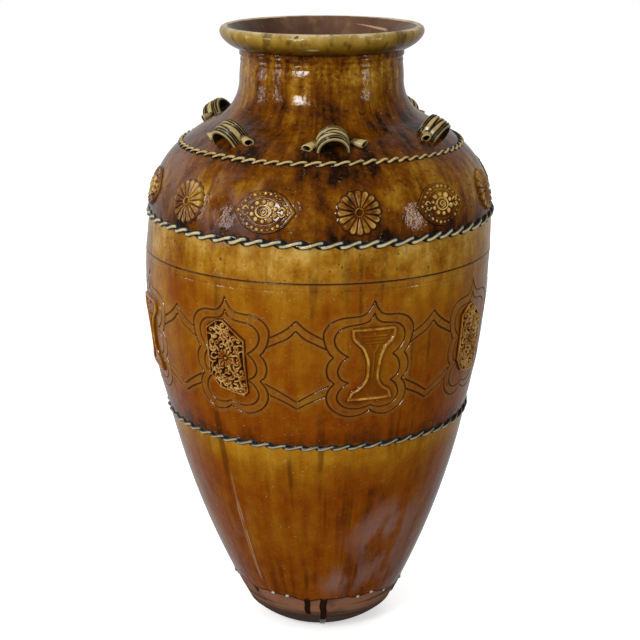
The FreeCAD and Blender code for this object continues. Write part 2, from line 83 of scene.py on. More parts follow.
# Thickness of the glaze, of the roll along its edge, and of the runs and beads on top of it
GLAZE_THICK, EDGE_ROLL, RUN_THICK, BEAD_THICK = 0.0007, 0.0006, 0.0004, 0.0014
# How softly a run flows out of the edge, in mm
FLOW = 1.2
# How near a point has to be to the outside to be glazed, and how far the glaze stays off the floor
ON_FACE, OFF_FLOOR = 2e-5, 0.0001

# Where the applied pieces sit: degrees from the front towards the right
LUG_DEG = (5.0, 64.0, 135.0, 187.0, 241.0, 314.0)
LUG_UP = 0.002
ROSETTE_DEG = tuple(12.0 + 60 * i for i in range(6))
LOZENGE_DEG = tuple(42.0 + 60 * i for i in range(6))
PLAQUE_DEG = tuple(-29.6 + 90 * i for i in range(4))
STAND_DEG = tuple(18.0 + 90 * i for i in range(4))
SHOULDER_SPRIG_UP = -0.0126
BELLY_SPRIG_UP = -0.0174
# How far the plaques and the stands sit above the middles of their frames
PLAQUE_LIFT, STAND_LIFT = 0.003, 0.004

# Incised frames round the belly sprigs: right half of each line, in mm from the sprig's middle
OUTER_FRAME = (
    ((0, 77), (3.5, 69), (10, 61.5), (19, 59), (33, 58), (45, 53), (52, 44), (53, 35), (50.5, 24), (46, 15),
     (42.5, 11)),
    ((42.5, 11), (47.5, 4), (49.5, -6), (47, -16), (41, -22)),
    ((41, -22), (47, -30), (49.5, -40), (46.5, -51), (38, -60), (26, -65.5), (13, -65), (4, -61), (0, -58)),
)
INNER_FRAME = (
    ((0, 62), (3.5, 55), (9.5, 51), (18, 49.5), (30, 47.5), (38, 42), (41.5, 34), (40, 24.5), (34, 16.5),
     (26.5, 11)),
    ((26.5, 11), (34, 4), (37.5, -7), (34, -16.5), (25.5, -22)),
    ((25.5, -22), (33.5, -28.5), (38, -39), (35, -48), (27, -54), (16, -56), (6, -54.5), (0, -52)),
)
# How far the right and the left half of each frame are stretched
STAND_FRAME, PLAQUE_FRAME = (0.94, -1.08), (1.02, -0.87)
# Roofs and valleys between two frames, drawn for a gap of this half width
GAP_HALF = 33.0
CHEVRONS = (((-33, 33), (-21, 39), (-10, 46), (0, 55)), ((-37, 21), (-24, 27), (-10, 34), (0, 43)),
            ((-39, -25), (-19, -35), (0, -46)), ((-36, -38), (-17, -46), (0, -55)))
# Half width and depth of a line, height of the burr beside it, and how far the glaze pools on both sides
GROOVE_HALF, GROOVE_DEEP, BURR_HIGH, GROOVE_POOL = 0.0013, 0.0011, 0.0009, 0.0032
# Radius and height of the ring above the frames, how far below it a fainter one is cut, and how strongly
RING_LINE, FAINT_DROP, FAINT = (0.2138, 0.4938), 0.0085, 0.25


class Bow:
    """Round outside face of one thrown section, between two (radius, height) points."""

    def __init__(self, low, high, bow):
        low, high = np.array(low), np.array(high)
        half = np.hypot(*(high - low)) / 2
        self.climb = (high - low) / (2 * half)
        self.out = np.array((self.climb[1], -self.climb[0]))
        self.radius = (half ** 2 + bow ** 2) / (2 * bow)
        self.centre = (low + high) / 2 + self.out * (bow - self.radius)
        self.half_length = self.radius * math.asin(half / self.radius)

    def normal(self, along):
        turn = np.asarray(along, float)[..., None] / self.radius
        return self.out * np.cos(turn) + self.climb * np.sin(turn)

    def at(self, along, out=0.0):
        """(radius, height), by the way up from the middle and the height above the face."""
        return self.centre + self.normal(along) * (self.radius + np.asarray(out, float)[..., None])

    def rows(self, count, out=0.0):
        return self.at(np.linspace(-self.half_length, self.half_length, count + 1), out)

    def along(self, radius, height):
        """Way up from the middle of the point of the face nearest to (radius, height)."""
        away = (np.stack((radius, height), -1) - self.centre) * np.sign(self.radius)
        return np.arctan2(away @ self.climb, away @ self.out) * self.radius


heel_bow = Bow(FOOT, HEEL, 0.0015)
lower_bow = Bow(HEEL, LOWER_SEAM, 0.0096)
belly_bow = Bow(LOWER_SEAM, MIDDLE_SEAM, 0.0110)
shoulder_bow = Bow(MIDDLE_SEAM, TOP_SEAM, 0.0106)
root_bow = Bow(TOP_SEAM, ROOT, 0.0020)
fillet_bow = Bow(ROOT, NECK, -0.0069)


def settled(points):
    """Points with the lean of the hand-thrown jar."""
    points = np.array(points, float)
    points[:, 0] += np.interp(points[:, 2], LEAN_HEIGHT, LEAN)
    return points


def on_ring(angle, radius, height):
    """Points by angle from the front towards the right, radius and height."""
    return np.stack(np.broadcast_arrays(radius * np.sin(angle), -radius * np.cos(angle), height), -1)


def round_jar(angle, radius, height):
    """The same on the jar, with its lean."""
    return settled(on_ring(angle, radius, height))


def ring_parts(points):
    """Angle from the front towards the right, radius and height of each point."""
    x, y, z = points.T
    return np.arctan2(x, -y), np.hypot(x, y), z


def away(angle, degrees):
    """Angle from a direction, at most half a turn either way."""
    return (angle - math.radians(degrees) + math.pi) % TURN - math.pi


def wavering(angle, seed, waves=(2, 3, 5, 7, 11)):
    """Smooth hand-made variation round the jar, about one either way."""
    dice = np.random.default_rng(seed)
    swings = (dice.normal() * np.sin(n * angle + dice.uniform(0, TURN)) for n in waves)
    return sum(swings) / math.sqrt(len(waves))


def smooth_line(points, step):
    """Curve through points, with a corner only at its ends, cut into steps of about one length."""
    points = np.array(points, float)
    padded = np.vstack((2 * points[0] - points[1], points, 2 * points[-1] - points[-2]))
    curve = []
    for a, b, c, d in zip(padded, padded[1:], padded[2:], padded[3:]):
        t = np.linspace(0, 1, max(2, int(np.hypot(*(c - b)) / step) + 1), endpoint=False)[:, None]
        bend, swing = 2 * a - 5 * b + 4 * c - d, 3 * b - a - 3 * c + d
        curve.append(0.5 * (2 * b + (c - a) * t + bend * t ** 2 + swing * t ** 3))
    return np.vstack(curve + [points[-1:]])


def to_line(points, line):
    """Distance of each point from a line of points, and how far along the line it is, from 0 to 1."""
    best, share = np.full(len(points), 1e9), np.zeros(len(points))
    for i, (a, b) in enumerate(zip(line, line[1:])):
        way = b - a
        t = np.clip((points - a) @ way / (way @ way + 1e-18), 0, 1)
        far = np.hypot(*(points - a - t[:, None] * way).T)
        near = far < best
        best[near], share[near] = far[near], (i + t[near]) / (len(line) - 1)
    return best, share


def dome(distance, reach):
    """Round back of a bead or ridge, 1 in its middle and 0 past its reach."""
    return np.sqrt(np.clip(1 - (distance / reach) ** 2, 0, 1))


def rise(value, low, high):
    t = np.clip((value - low) / (high - low), 0, 1)
    return t * t * (3 - 2 * t)


# Mesh work


def primitive(kind, name, **size):
    bpy.ops.object.select_all(action="DESELECT")
    getattr(bpy.ops.mesh, "primitive_%s_add" % kind)(**size)
    piece = bpy.context.object
    piece.name = piece.data.name = name
    return piece


def points_of(piece):
    flat = np.empty(len(piece.data.vertices) * 3, np.float32)
    piece.data.vertices.foreach_get("co", flat)
    return flat.reshape(-1, 3).astype(float)


def reshape(piece, points):
    piece.data.vertices.foreach_set("co", np.asarray(points, np.float32).ravel())
    piece.data.update()
    return piece


def pick(*pieces):
    """Selects these pieces alone, and makes the last one active."""
    bpy.ops.object.select_all(action="DESELECT")
    for piece in pieces:
        piece.select_set(True)
    bpy.context.view_layer.objects.active = pieces[-1]


def edit(piece, *steps):
    """Runs edit-mode operators on the whole of one piece."""
    pick(piece)
    bpy.ops.object.mode_set(mode="EDIT")
    for step, options in steps:
        bpy.ops.mesh.select_all(action="SELECT")
        step(**options)
    bpy.ops.object.mode_set(mode="OBJECT")
    return piece


def weld(piece):
    """Closes seams, poles and open ends, and turns every face outwards."""
    edit(piece, (bpy.ops.mesh.remove_doubles, {"threshold": MERGE}),
         (bpy.ops.mesh.fill_holes, {"sides": 0}),
         (bpy.ops.mesh.normals_make_consistent, {"inside": False}))
    shape = bmesh.new()
    shape.from_mesh(piece.data)
    inside_out = shape.calc_volume(signed=True) < 0
    shape.free()
    return edit(piece, (bpy.ops.mesh.flip_normals, {})) if inside_out else piece


def wrapped_grid(name, columns, rows, place):
    """Grid whose points are put in place by their shares (u, v) of its two sides."""
    piece = primitive("grid", name, x_subdivisions=columns, y_subdivisions=rows, size=1)
    share = points_of(piece)[:, :2] + 0.5
    return reshape(piece, place(share[:, 0], share[:, 1]))


def spun(name, profile, steps):
    """Ring wall: a closed loop of (radius, height) points, spun once round the jar's axis."""
    profile = np.array(profile, float)
    piece = primitive("circle", name, vertices=len(profile), fill_type="NOTHING")
    reshape(piece, np.stack((np.zeros(len(profile)), -profile[:, 0], profile[:, 1]), -1))
    once_round = {"steps": steps, "angle": TURN, "center": (0, 0, 0), "axis": (0, 0, 1)}
    edit(piece, (bpy.ops.mesh.spin, once_round))
    return weld(piece)


def copy_of(piece, name):
    pick(piece)
    bpy.ops.object.duplicate()
    made = bpy.context.object
    made.name = made.data.name = name
    return made


def mark(piece, name, values):
    """Keeps one number per point for the finish to read."""
    layer = piece.data.attributes.get(name) or piece.data.attributes.new(name, "FLOAT", "POINT")
    layer.data.foreach_set("value", np.asarray(values, np.float32))


def put_on_jar(piece, node, slot, *coats):
    """Gives a finished piece its finish and lets it stand for its solid."""
    for coat in coats:
        piece.data.materials.append(coat)
    pick(piece)
    bpy.ops.object.shade_smooth_by_angle(angle=SHARP)
    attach(piece, "root")
    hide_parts(node)


def inside_finish(piece, is_inside):
    """Gives the second finish to the faces whose middles are inside the jar."""
    middles = np.empty(len(piece.data.polygons) * 3, np.float32)
    piece.data.polygons.foreach_get("center", middles)
    x, y, z = middles.reshape(-1, 3).astype(float).T
    inner = is_inside(np.hypot(x - np.interp(z, LEAN_HEIGHT, LEAN), y), z)
    piece.data.polygons.foreach_set("material_index", inner.astype(np.int32))


def inside_of(bow):
    """Rule for the inside of a wall under a bow."""
    return lambda radius, height: radius < bow.at(bow.along(radius, height), -WALL)[:, 0] + INNER_SLACK


# Finishes


def paint(red, green, blue):
    """Colour from its 0 to 255 screen values."""
    def linear(value):
        value /= 255
        return value / 12.92 if value <= 0.04045 else ((value + 0.055) / 1.055) ** 2.4
    return (linear(red), linear(green), linear(blue), 1.0)


class Field:
    """One socket of a finish. Sums on it add Math nodes."""

    def __init__(self, tree, socket):
        self.tree, self.socket = tree, socket

    def node(self, kind, settings, sockets, out=0):
        made = self.tree.nodes.new("ShaderNode" + kind)
        for key, value in settings.items():
            if key == "stops":
                ramp = made.color_ramp.elements
                while len(ramp) < len(value):
                    ramp.new(1.0)
                for element, (place, colour) in zip(ramp, value):
                    element.position, element.color = place, colour
            else:
                setattr(made, key, value)
        for key, value in sockets.items():
            if isinstance(value, Field):
                self.tree.links.new(value.socket, made.inputs[key])
            else:
                made.inputs[key].default_value = value
        return Field(self.tree, made.outputs[out])

    def math(self, operation, *values):
        return self.node("Math", {"operation": operation}, dict(enumerate(values)))

    def __add__(self, other):
        return self.math("ADD", self, other)

    def __sub__(self, other):
        return self.math("SUBTRACT", self, other)

    def __rsub__(self, other):
        return self.math("SUBTRACT", other, self)

    def __mul__(self, other):
        return self.math("MULTIPLY", self, other)

    __radd__, __rmul__ = __add__, __mul__

    def rise(self, low, high):
        sockets = {"Value": self, "From Min": low, "From Max": high}
        return self.node("MapRange", {"interpolation_type": "SMOOTHSTEP"}, sockets)

    def mix(self, a, b):
        """Colour a where this is 0, and colour b where it is 1."""
        return self.node("Mix", {"data_type": "RGBA"}, {0: self, 6: a, 7: b}, out=2)

    def shade(self, colour):
        """Colour made this many times as bright."""
        return self.node("VectorMath", {"operation": "SCALE"}, {0: colour, "Scale": self})

    def noise(self, scale, detail=2.0, stretch=(1, 1, 1), shift=(0, 0, 0)):
        """Noise on these coordinates, from 0 to 1, with its grains drawn out where stretch is small."""
        place = self.node("Mapping", {}, {"Vector": self, "Scale": stretch, "Location": shift})
        return self.node("TexNoise", {}, {"Vector": place, "Scale": scale, "Detail": detail})

    def axis(self, number):
        return self.node("SeparateXYZ", {}, {0: self}, out=number)

    def vector(self, operation, *others, out="Vector"):
        return self.node("VectorMath", {"operation": operation}, dict(enumerate((self, *others))), out)

    def ramp(self, stops):
        """Colour by the value of this, from (value, colour) stops."""
        return self.node("ValToRGB", {"stops": stops}, {0: self})

    def near(self, point, reach):
        """1 at a point of the jar, fading to 0 at a distance from it."""
        return 1 - self.vector("DISTANCE", point, out="Value").rise(0.0, reach)

    def spots(self, places):
        """Sum of soft spots, each a place, how far it reaches and its amount."""
        return sum(self.near(place, reach) * amount for place, reach, amount in places)


def finish(name, build):
    """Material whose build function returns colour, roughness and relief height in metres."""
    material = bpy.data.materials.new(name)
    material.use_nodes = True
    tree = material.node_tree
    shader = tree.nodes["Principled BSDF"]
    start = Field(tree, tree.nodes.new("ShaderNodeTexCoord").outputs["Object"])
    colour, roughness, height = build(start)
    bump = start.node("Bump", {}, {"Strength": 1.0, "Distance": 1.0, "Height": height}, out="Normal")
    for key, value in (("Base Color", colour), ("Roughness", roughness), ("Normal", bump)):
        tree.links.new(value.socket, shader.inputs[key])
    shader.inputs["IOR"].default_value = 1.5
    return material


def attribute(field, name):
    return field.node("Attribute", {"attribute_name": name}, {}, out="Fac")


BLACK_RUN = paint(34, 17, 7)
LAVENDER = paint(146, 110, 98)
PALE_SPECK = paint(215, 200, 170)
DARK_RUN = paint(58, 25, 2)
# How thick the glaze lies by height above the floor: thin below each rope, pooled on top of it
POOL = ((0.0, 0.66), (0.08, 0.63), (0.15, 0.58), (0.225, 0.55), (0.255, 0.40), (0.274, 0.21),
        (0.289, 0.17), (0.292, 0.72), (0.315, 0.58), (0.40, 0.47), (0.445, 0.47), (0.475, 0.41),
        (0.505, 0.31), (0.537, 0.20), (0.541, 0.90), (0.56, 0.72), (0.588, 0.56), (0.612, 0.70),
        (0.6205, 0.78), (0.624, 0.84), (0.65, 0.76), (0.68, 0.58), (0.705, 0.42), (0.722, 0.46),
        (0.728, 0.66), (0.76, 0.72))
POOL_TOP = 0.76
# Colour of the glaze by how thick it lies
GLAZE = ((0.0, (190, 142, 54)), (0.18, (172, 118, 24)), (0.36, (150, 94, 8)), (0.50, (138, 75, 4)),
         (0.62, (130, 62, 0)), (0.80, (88, 41, 3)), (1.0, (34, 15, 5)))
# The same above the belly, where it is more olive
OLIVE_GLAZE = ((0.0, (192, 156, 80)), (0.18, (170, 127, 46)), (0.36, (146, 100, 20)), (0.50, (126, 79, 8)),
               (0.62, (110, 60, 2)), (0.80, (84, 42, 4)), (1.0, (30, 15, 6)))
# Soft spots where the glaze lies thicker or thinner than its height alone gives
THICK_SPOTS = (((0.125, -0.165, 0.525), 0.11, -0.22), ((0.0, -0.195, 0.602), 0.07, 0.20),
               ((0.0, -0.12, 0.66), 0.07, 0.10), ((-0.15, -0.14, 0.50), 0.08, 0.12),
               ((-0.17, -0.12, 0.42), 0.08, -0.14), ((0.11, -0.14, 0.605), 0.06, -0.18),
               ((-0.15, -0.10, 0.275), 0.09, 0.20), ((0.14, -0.11, 0.27), 0.08, 0.15),
               ((0.09, -0.09, 0.645), 0.07, 0.12))
# Soft spots of lavender, partly bloom in the glaze and partly painted reflection sheen
BLOOM_AND_SHEEN_SPOTS = (((0.074, -0.115, 0.165), 0.085, 0.9), ((0.03, -0.12, 0.085), 0.05, 0.8),
               ((0.075, -0.09, 0.10), 0.05, 0.6), ((-0.10, -0.17, 0.565), 0.09, 0.5),
               ((-0.16, -0.09, 0.60), 0.10, 0.5), ((-0.095, -0.095, 0.16), 0.045, 0.5),
               ((-0.08, -0.06, 0.70), 0.05, 0.4), ((0.10, 0.16, 0.22), 0.10, 0.8))
# Thin pale vertical lines: angle, half width, lowest and highest point, strength
PALE_LINES = ((-37.0, 0.0024, 0.07, 0.25, 0.30), (-33.0, 0.0016, 0.05, 0.20, 0.20),
            (128.0, 0.003, 0.10, 0.27, 0.4))
# Radius of the ring that the runs are drawn on, and how much they lean inwards with the wall
BODY_R, WALL_SLOPE = 0.19, 0.8


def down_wall(p):
    """Coordinates that run round the jar and down its wall, so that runs of glaze follow the slope."""
    x, y, height = (p.axis(i) for i in range(3))
    flat = p.node("CombineXYZ", {}, {0: x, 1: y})
    way = flat.vector("NORMALIZE")
    ring = way.node("VectorMath", {"operation": "SCALE"}, {0: way, "Scale": BODY_R})
    fall = p.node("CombineXYZ", {}, {2: height - flat.vector("LENGTH", out="Value") * WALL_SLOPE})
    return ring.vector("ADD", fall), ring, height


def glaze_colour(p):
    """Honey glaze that ran down the jar: thin and thick bands, streaks, dark runs, and pale lavender that
    is partly bloom and partly painted reflection sheen.
    """
    wall, ring, height = down_wall(p)
    broad = wall.noise(14, 3, (1, 1, 0.4))
    streak = wall.noise(58, 3, (1, 1, 0.3))
    thread = wall.noise(300, 2, (1, 1, 0.14))
    mottle = p.noise(62, 4)
    cloud = p.noise(24, 3)
    grain = p.noise(520, 2)
    fleck = p.noise(210, 3, shift=(6, 6, 2))
    high = height.rise(0.465, 0.505)
    level = (height + (streak - 0.5) * 0.006 + (cloud - 0.5) * 0.006) * (1 / POOL_TOP)
    pool = level.ramp([(z / POOL_TOP, (t, t, t, 1)) for z, t in POOL])
    neck_top = height.rise(0.685, 0.712)
    drawn = ((broad - 0.5) * (0.42 + high * 0.2) + (streak - 0.5) * (0.34 + high * 0.2)
             + (thread - 0.5) * 0.08 + (mottle - 0.5) * (0.26 + high * 0.14)
             + (fleck - 0.5) * (0.20 + high * 0.12 + neck_top * 0.3))
    thick = pool + drawn * (1.35 + high * 0.25) + p.spots(THICK_SPOTS)
    amber, olive = (thick.ramp([(t, paint(*rgb)) for t, rgb in stops]) for stops in (GLAZE, OLIVE_GLAZE))
    colour = height.rise(0.45, 0.56).mix(amber, olive)
    colour = (0.44 + grain * 0.56 + fleck * 0.56).shade(colour)
    run = wall.noise(95, 1, (1, 1, 0.07), (0.3, 0.1, 0)).rise(0.55, 0.72)
    colour = (run * p.noise(16, 2, shift=(4, 2, 1)).rise(0.38, 0.60) * 0.55).mix(colour, DARK_RUN)
    veil = wall.noise(36, 4, (1, 1, 0.7), (1, 5, 2)).rise(0.36, 0.58) * 0.8 + 0.2
    # Lavender patches: partly bloom in the glaze, partly painted reflection sheen on the glaze
    bloom_and_sheen = (p.spots(BLOOM_AND_SHEEN_SPOTS) * veil).rise(0.05, 0.85)
    colour = (bloom_and_sheen * (0.50 + thread * 0.5)).mix(colour, LAVENDER)
    # Thin pale vertical lines down the wall
    for degrees, half, low, top, force in PALE_LINES:
        turn = math.radians(degrees)
        far = ring.vector("DISTANCE", (BODY_R * math.sin(turn), -BODY_R * math.cos(turn), 0), out="Value")
        pale_line = 1 - far.math("ABSOLUTE", far + (broad - 0.5) * 0.02).rise(0.0, half)
        pale_line = pale_line * height.rise(low, low + 0.02) * (1 - height.rise(top - 0.03, top))
        colour = (pale_line * (streak + thread).rise(0.8, 1.15) * force).mix(colour, PALE_SPECK)
    pit = p.noise(230, 0, shift=(2, 7, 3)).rise(0.74, 0.82) * (0.25 + high * 0.75)
    colour = (pit * 0.55).mix(colour, BLACK_RUN)
    # Tiny pale dots: partly specks in the glaze, partly painted glints
    speck_and_glint = p.noise(600, 0, shift=(9, 1, 4)).rise(0.81, 0.86)
    colour = (speck_and_glint * 0.4).mix(colour, PALE_SPECK)
    roughness = 0.075 + mottle * 0.05 + bloom_and_sheen * 0.2
    relief = streak * 0.00018 + cloud * 0.0010 + p.noise(150, 3) * 0.00046 + mottle * 0.0004 - pit * 0.0005
    return colour, roughness, relief


def incised_glaze(p):
    """Glaze over the cut lines: dark in them and beside them, and golden on their burrs, partly thin glaze
    and partly a painted highlight.
    """
    colour, roughness, relief = glaze_colour(p)
    groove = attribute(p, "groove")
    colour = (groove.rise(0.30, 0.95) * 0.86).mix(colour, paint(56, 25, 5))
    colour = (attribute(p, "pool") * 0.42).mix(colour, paint(80, 40, 5))
    # Golden on the burrs: partly thin glaze, partly a painted highlight along the lines
    colour = (attribute(p, "burr") * 0.36).mix(colour, paint(200, 152, 66))
    return colour, roughness + groove * 0.08, relief


def bare_clay(p):
    """Unglazed stoneware: salmon to brown, sandy, with turning marks."""
    cloud = p.noise(30, 4)
    sand = p.noise(700, 2)
    height = p.axis(2)
    ring = p.noise(14, 3, (0.4, 0.4, 14))
    colour = height.rise(0.022, 0.036).mix(paint(90, 60, 40), paint(160, 103, 70))
    colour = cloud.rise(0.40, 0.75).mix(colour, paint(104, 70, 50))
    colour = (ring.rise(0.46, 0.62) * 0.75).mix(colour, paint(64, 42, 28))
    colour = (0.58 + sand * 0.56).shade(colour)
    return colour, 0.66 + cloud * 0.2, sand * 0.00025 + ring * 0.0006


def foot_glaze(p):
    """Glaze above its scalloped edge, with a dark thick lip there, and bare clay below."""
    colour, roughness, relief = glaze_colour(p)
    clay, clay_rough, clay_relief = bare_clay(p)
    reach = attribute(p, "glaze")
    on = reach.rise(-0.15, 0.25)
    edge = reach.rise(0.1, 0.6) * (1 - reach.rise(1.6, 3.4))
    colour = (edge * 0.85).mix(colour, BLACK_RUN)
    colour = (attribute(p, "run") * 0.9).mix(colour, paint(30, 17, 9))
    # The beads are painted pale teal: a painted highlight on the raised drops
    colour = attribute(p, "bead").rise(0.2, 0.8).mix(colour, paint(176, 196, 188))
    off = 1 - on
    return on.mix(clay, colour), on * roughness + off * clay_rough, on * relief + off * clay_relief


def inside_glaze(p):
    """Mauve-brown glaze inside the mouth and the jar."""
    cloud = p.noise(20, 3)
    streak = p.noise(60, 2, (1, 1, 0.1))
    colour = cloud.rise(0.3, 0.7).mix(paint(92, 62, 44), paint(110, 78, 60))
    colour = (streak.rise(0.55, 0.8) * 0.6).mix(colour, paint(140, 106, 66))
    x, y, height = (p.axis(i) for i in range(3))
    # Darker towards the left: painted shade inside the mouth
    colour = ((x + (cloud - 0.5) * 0.06).rise(-0.10, 0.02) * 0.45 + 0.62).shade(colour)
    # A pale scar on the far side of the mouth, sloping down to the right and wider there
    off = height + x * 0.122 - 0.75725 + (p.noise(300, 2) - 0.5) * 0.0016
    scar = 1 - (off.math("ABSOLUTE", off) - x * 0.034).rise(-0.0017, -0.0009)
    scar = scar * x.rise(0.043, 0.050) * (1 - x.rise(0.080, 0.085)) * y.rise(0.0, 0.02)
    colour = (scar * 0.85).mix(colour, paint(200, 164, 122))
    return (0.7 + streak * 0.5).shade(colour), 0.2 + cloud * 0.15, cloud * 0.0012 + p.noise(140, 3) * 0.0002


# Colour of the lip from its seat to its crest
LIP_GLAZE = ((0.0, (46, 25, 4)), (0.24, (90, 60, 10)), (0.42, (122, 90, 20)), (0.66, (142, 112, 40)),
             (0.84, (150, 122, 58)), (0.94, (164, 138, 82)), (1.0, (190, 168, 122)))


def lip_glaze(p):
    """Olive glaze, thin and pale on the crest and dark in the crease below."""
    cloud = p.noise(36, 3)
    streak = p.noise(150, 3, (1, 1, 0.3))
    height = p.axis(2) + (cloud - 0.5) * 0.008
    share = height.node("MapRange", {}, {"Value": height, "From Min": 0.734, "From Max": 0.760})
    colour = share.ramp([(place, paint(*rgb)) for place, rgb in LIP_GLAZE])
    colour = (0.40 + streak * 0.8 + cloud * 0.64).shade(colour)
    patch = p.noise(70, 3, (1, 1, 0.5), (5, 2, 9)).rise(0.52, 0.70)
    colour = (patch * 0.65).mix(colour, paint(66, 42, 8))
    worn = p.noise(110, 4, shift=(8, 8, 1)).rise(0.56, 0.66) * share.rise(0.80, 0.98)
    colour = (worn * 0.7).mix(colour, paint(206, 190, 156))
    chip = attribute(p, "chip") * (0.55 + p.noise(380, 2) * 0.9)
    colour = (chip.rise(0.05, 0.30) * 0.75).mix(colour, paint(204, 186, 148))
    colour = (chip.rise(0.62, 0.90) * 0.85).mix(colour, paint(70, 44, 26))
    return colour, 0.06 + cloud * 0.08, streak * 0.0003 + cloud * 0.0008 + p.noise(220, 3) * 0.0003


def relief_glaze(crest, body, hollow, low, high):
    """Glaze that drew away from raised clay and pooled in the hollows, and painted shade where a piece
    marks its underside as low.
    """
    def build(p):
        cloud = p.noise(90, 3)
        grain = p.noise(420, 3)
        relief = attribute(p, "relief") + (cloud - 0.5) * 0.22
        colour = relief.rise(low, (low + high) / 2).mix(paint(*hollow), paint(*body))
        colour = relief.rise((low + high) / 2, high).mix(colour, paint(*crest))
        stain = p.noise(55, 3, shift=(2, 8, 5)).rise(0.46, 0.70)
        colour = (stain * 0.45).mix(colour, (0.45 + grain * 0.2).shade(colour))
        colour = (0.52 + grain * 0.6 + cloud * 0.36).shade(colour)
        return colour, 0.14 + cloud * 0.14, grain * 0.0002 + cloud * 0.0004
    return build


def sprig_glaze(crest, hollow, bare, deep):
    """Glaze of the wall over a sprig: pale on its crests, pooled in its hollows and along its edge."""
    def build(p):
        colour, roughness, height = glaze_colour(p)
        patch = p.noise(70, 3, shift=(3, 3, 8))
        relief = attribute(p, "relief") + (patch - 0.5) * 0.3
        colour = ((1 - relief.rise(0.18, 0.64)) * deep).mix(colour, paint(*hollow))
        worn = (bare + (patch - 0.5) * 1.8 + (p.noise(260, 2) - 0.5) * 0.8).rise(0.0, 1.0)
        colour = (relief.rise(0.64, 1.0) * worn).mix(colour, paint(*crest))
        colour = (attribute(p, "pool").rise(0.1, 1.0) * 0.85).mix(colour, BLACK_RUN)
        return colour, roughness, height * 0.4
    return build


wall_finish = finish("amber_glaze", glaze_colour)
belly_finish = finish("amber_glaze_incised", incised_glaze)
foot_finish = finish("amber_glaze_foot", foot_glaze)
inside = finish("inside_glaze", inside_glaze)
lip_finish = finish("olive_glaze", lip_glaze)
rope_finish = {rope: finish(name, relief_glaze(*look)) for rope, name, look in (
    ("top_rope", "rope_glaze_buff", ((196, 168, 108), (96, 72, 36), (30, 20, 12), 0.35, 0.95)),
    ("middle_rope", "rope_glaze_cream", ((204, 186, 140), (64, 64, 58), (22, 32, 40), 0.50, 1.0)),
    ("lower_rope", "rope_glaze_pale", ((196, 182, 146), (58, 64, 62), (28, 38, 42), 0.52, 1.05)))}
lug_finish = finish("lug_glaze", relief_glaze((186, 164, 110), (112, 92, 50), (22, 15, 8), 0.2, 1.0))
rosette_finish = finish("sprig_glaze_honey", sprig_glaze((206, 164, 86), (58, 27, 5), 0.46, 0.62))
lozenge_finish = finish("sprig_glaze_gold", sprig_glaze((216, 178, 100), (56, 27, 5), 0.66, 0.70))
plaque_finish = finish("sprig_glaze_cream", sprig_glaze((206, 168, 98), (26, 14, 5), 0.54, 0.94))
stand_finish = finish("sprig_glaze_olive", sprig_glaze((206, 160, 70), (104, 56, 5), 0.50, 0.7))


# Foot, body, shoulder and neck


def glaze_edge(angle):
    """Height of the lower edge of the glaze."""
    scallop = np.abs(np.sin(angle * 9 + 0.6 * np.sin(2 * angle)))
    fall = EDGE_FALL * np.sin(angle)
    return EDGE_HEIGHT - fall + EDGE_SCALLOP * (1.2 * wavering(angle, 4) + 1.4 * (0.6 - scallop))


def foot_marks(angle, height):
    """Distance inside the glaze, in mm, and how much a point lies on a run or a bead."""
    reach = (height - glaze_edge(angle)) / MM
    run, bead = np.zeros_like(reach), np.zeros_like(reach)
    for degrees, low, half in RUNS:
        across = away(angle, degrees) * RUN_ARC_R + RUN_WOBBLE * np.sin(height * RUN_WAVES + degrees)
        below = np.clip(low + half - height, 0, 1)
        drip = np.where(height < RUN_TOP, (half - np.hypot(across, below)) / MM, -9)
        run = np.maximum(run, rise(drip, -0.2, 1.0) * rise(RUN_TOP - height, 0, RUN_TOP - EDGE_HEIGHT))
        near = np.maximum(FLOW - np.abs(reach - drip), 0)
        reach = np.maximum(reach, drip) + near ** 2 / (4 * FLOW)
    for i, degrees in enumerate(BEADS):
        up = height - glaze_edge(np.radians([degrees]))[0] - BEAD_UP
        far = np.hypot(away(angle, degrees) * BEAD_ARC_R, up)
        bead = np.maximum(bead, dome(far, BEAD_R + 0.0005 * math.sin(3.1 * i)))
    return reach, run, bead


def coat_foot(piece, bow):
    """Raises the glaze over the clay on the outside of a piece at the foot, and marks where it is."""
    angle, radius, height = ring_parts(points_of(piece))
    reach, run, bead = foot_marks(angle, height)
    roll = EDGE_ROLL * np.exp(-((reach - 1.3) / 1.1) ** 2)
    thick = GLAZE_THICK * rise(reach, -0.3, 0.9) + roll + RUN_THICK * run + BEAD_THICK * bead
    off_face = np.hypot(radius - bow.centre[0], height - bow.centre[1]) - abs(bow.radius)
    outer = (np.abs(off_face) < ON_FACE) & (height > 2 * OFF_FLOOR)
    normal = bow.normal(bow.along(radius, height))
    lift = np.where(outer, thick, 0)
    raised = np.maximum(height + normal[:, 1] * lift, OFF_FLOOR)
    reshape(piece, round_jar(angle, radius + normal[:, 0] * lift, np.where(outer, raised, height)))
    for name, values in (("glaze", np.clip(reach, -9, 9)), ("run", run), ("bead", bead)):
        mark(piece, name, values)


# Slab from the inside of the heel to its middle, and its underside
SLAB_ROWS = ((HEEL[0] - WALL, HEEL[1] + 0.001), (HEEL[0] - WALL - 0.003, FLOOR), (0.04, FLOOR),
             (0.0, FLOOR), (0.0, 0.0), (0.045, 0.0))
base = spun("foot_slab", np.vstack((heel_bow.rows(18), SLAB_ROWS)), FINE_STEPS)
coat_foot(base, heel_bow)
put_on_jar(base, "base_disc", "bare_clay", foot_finish)

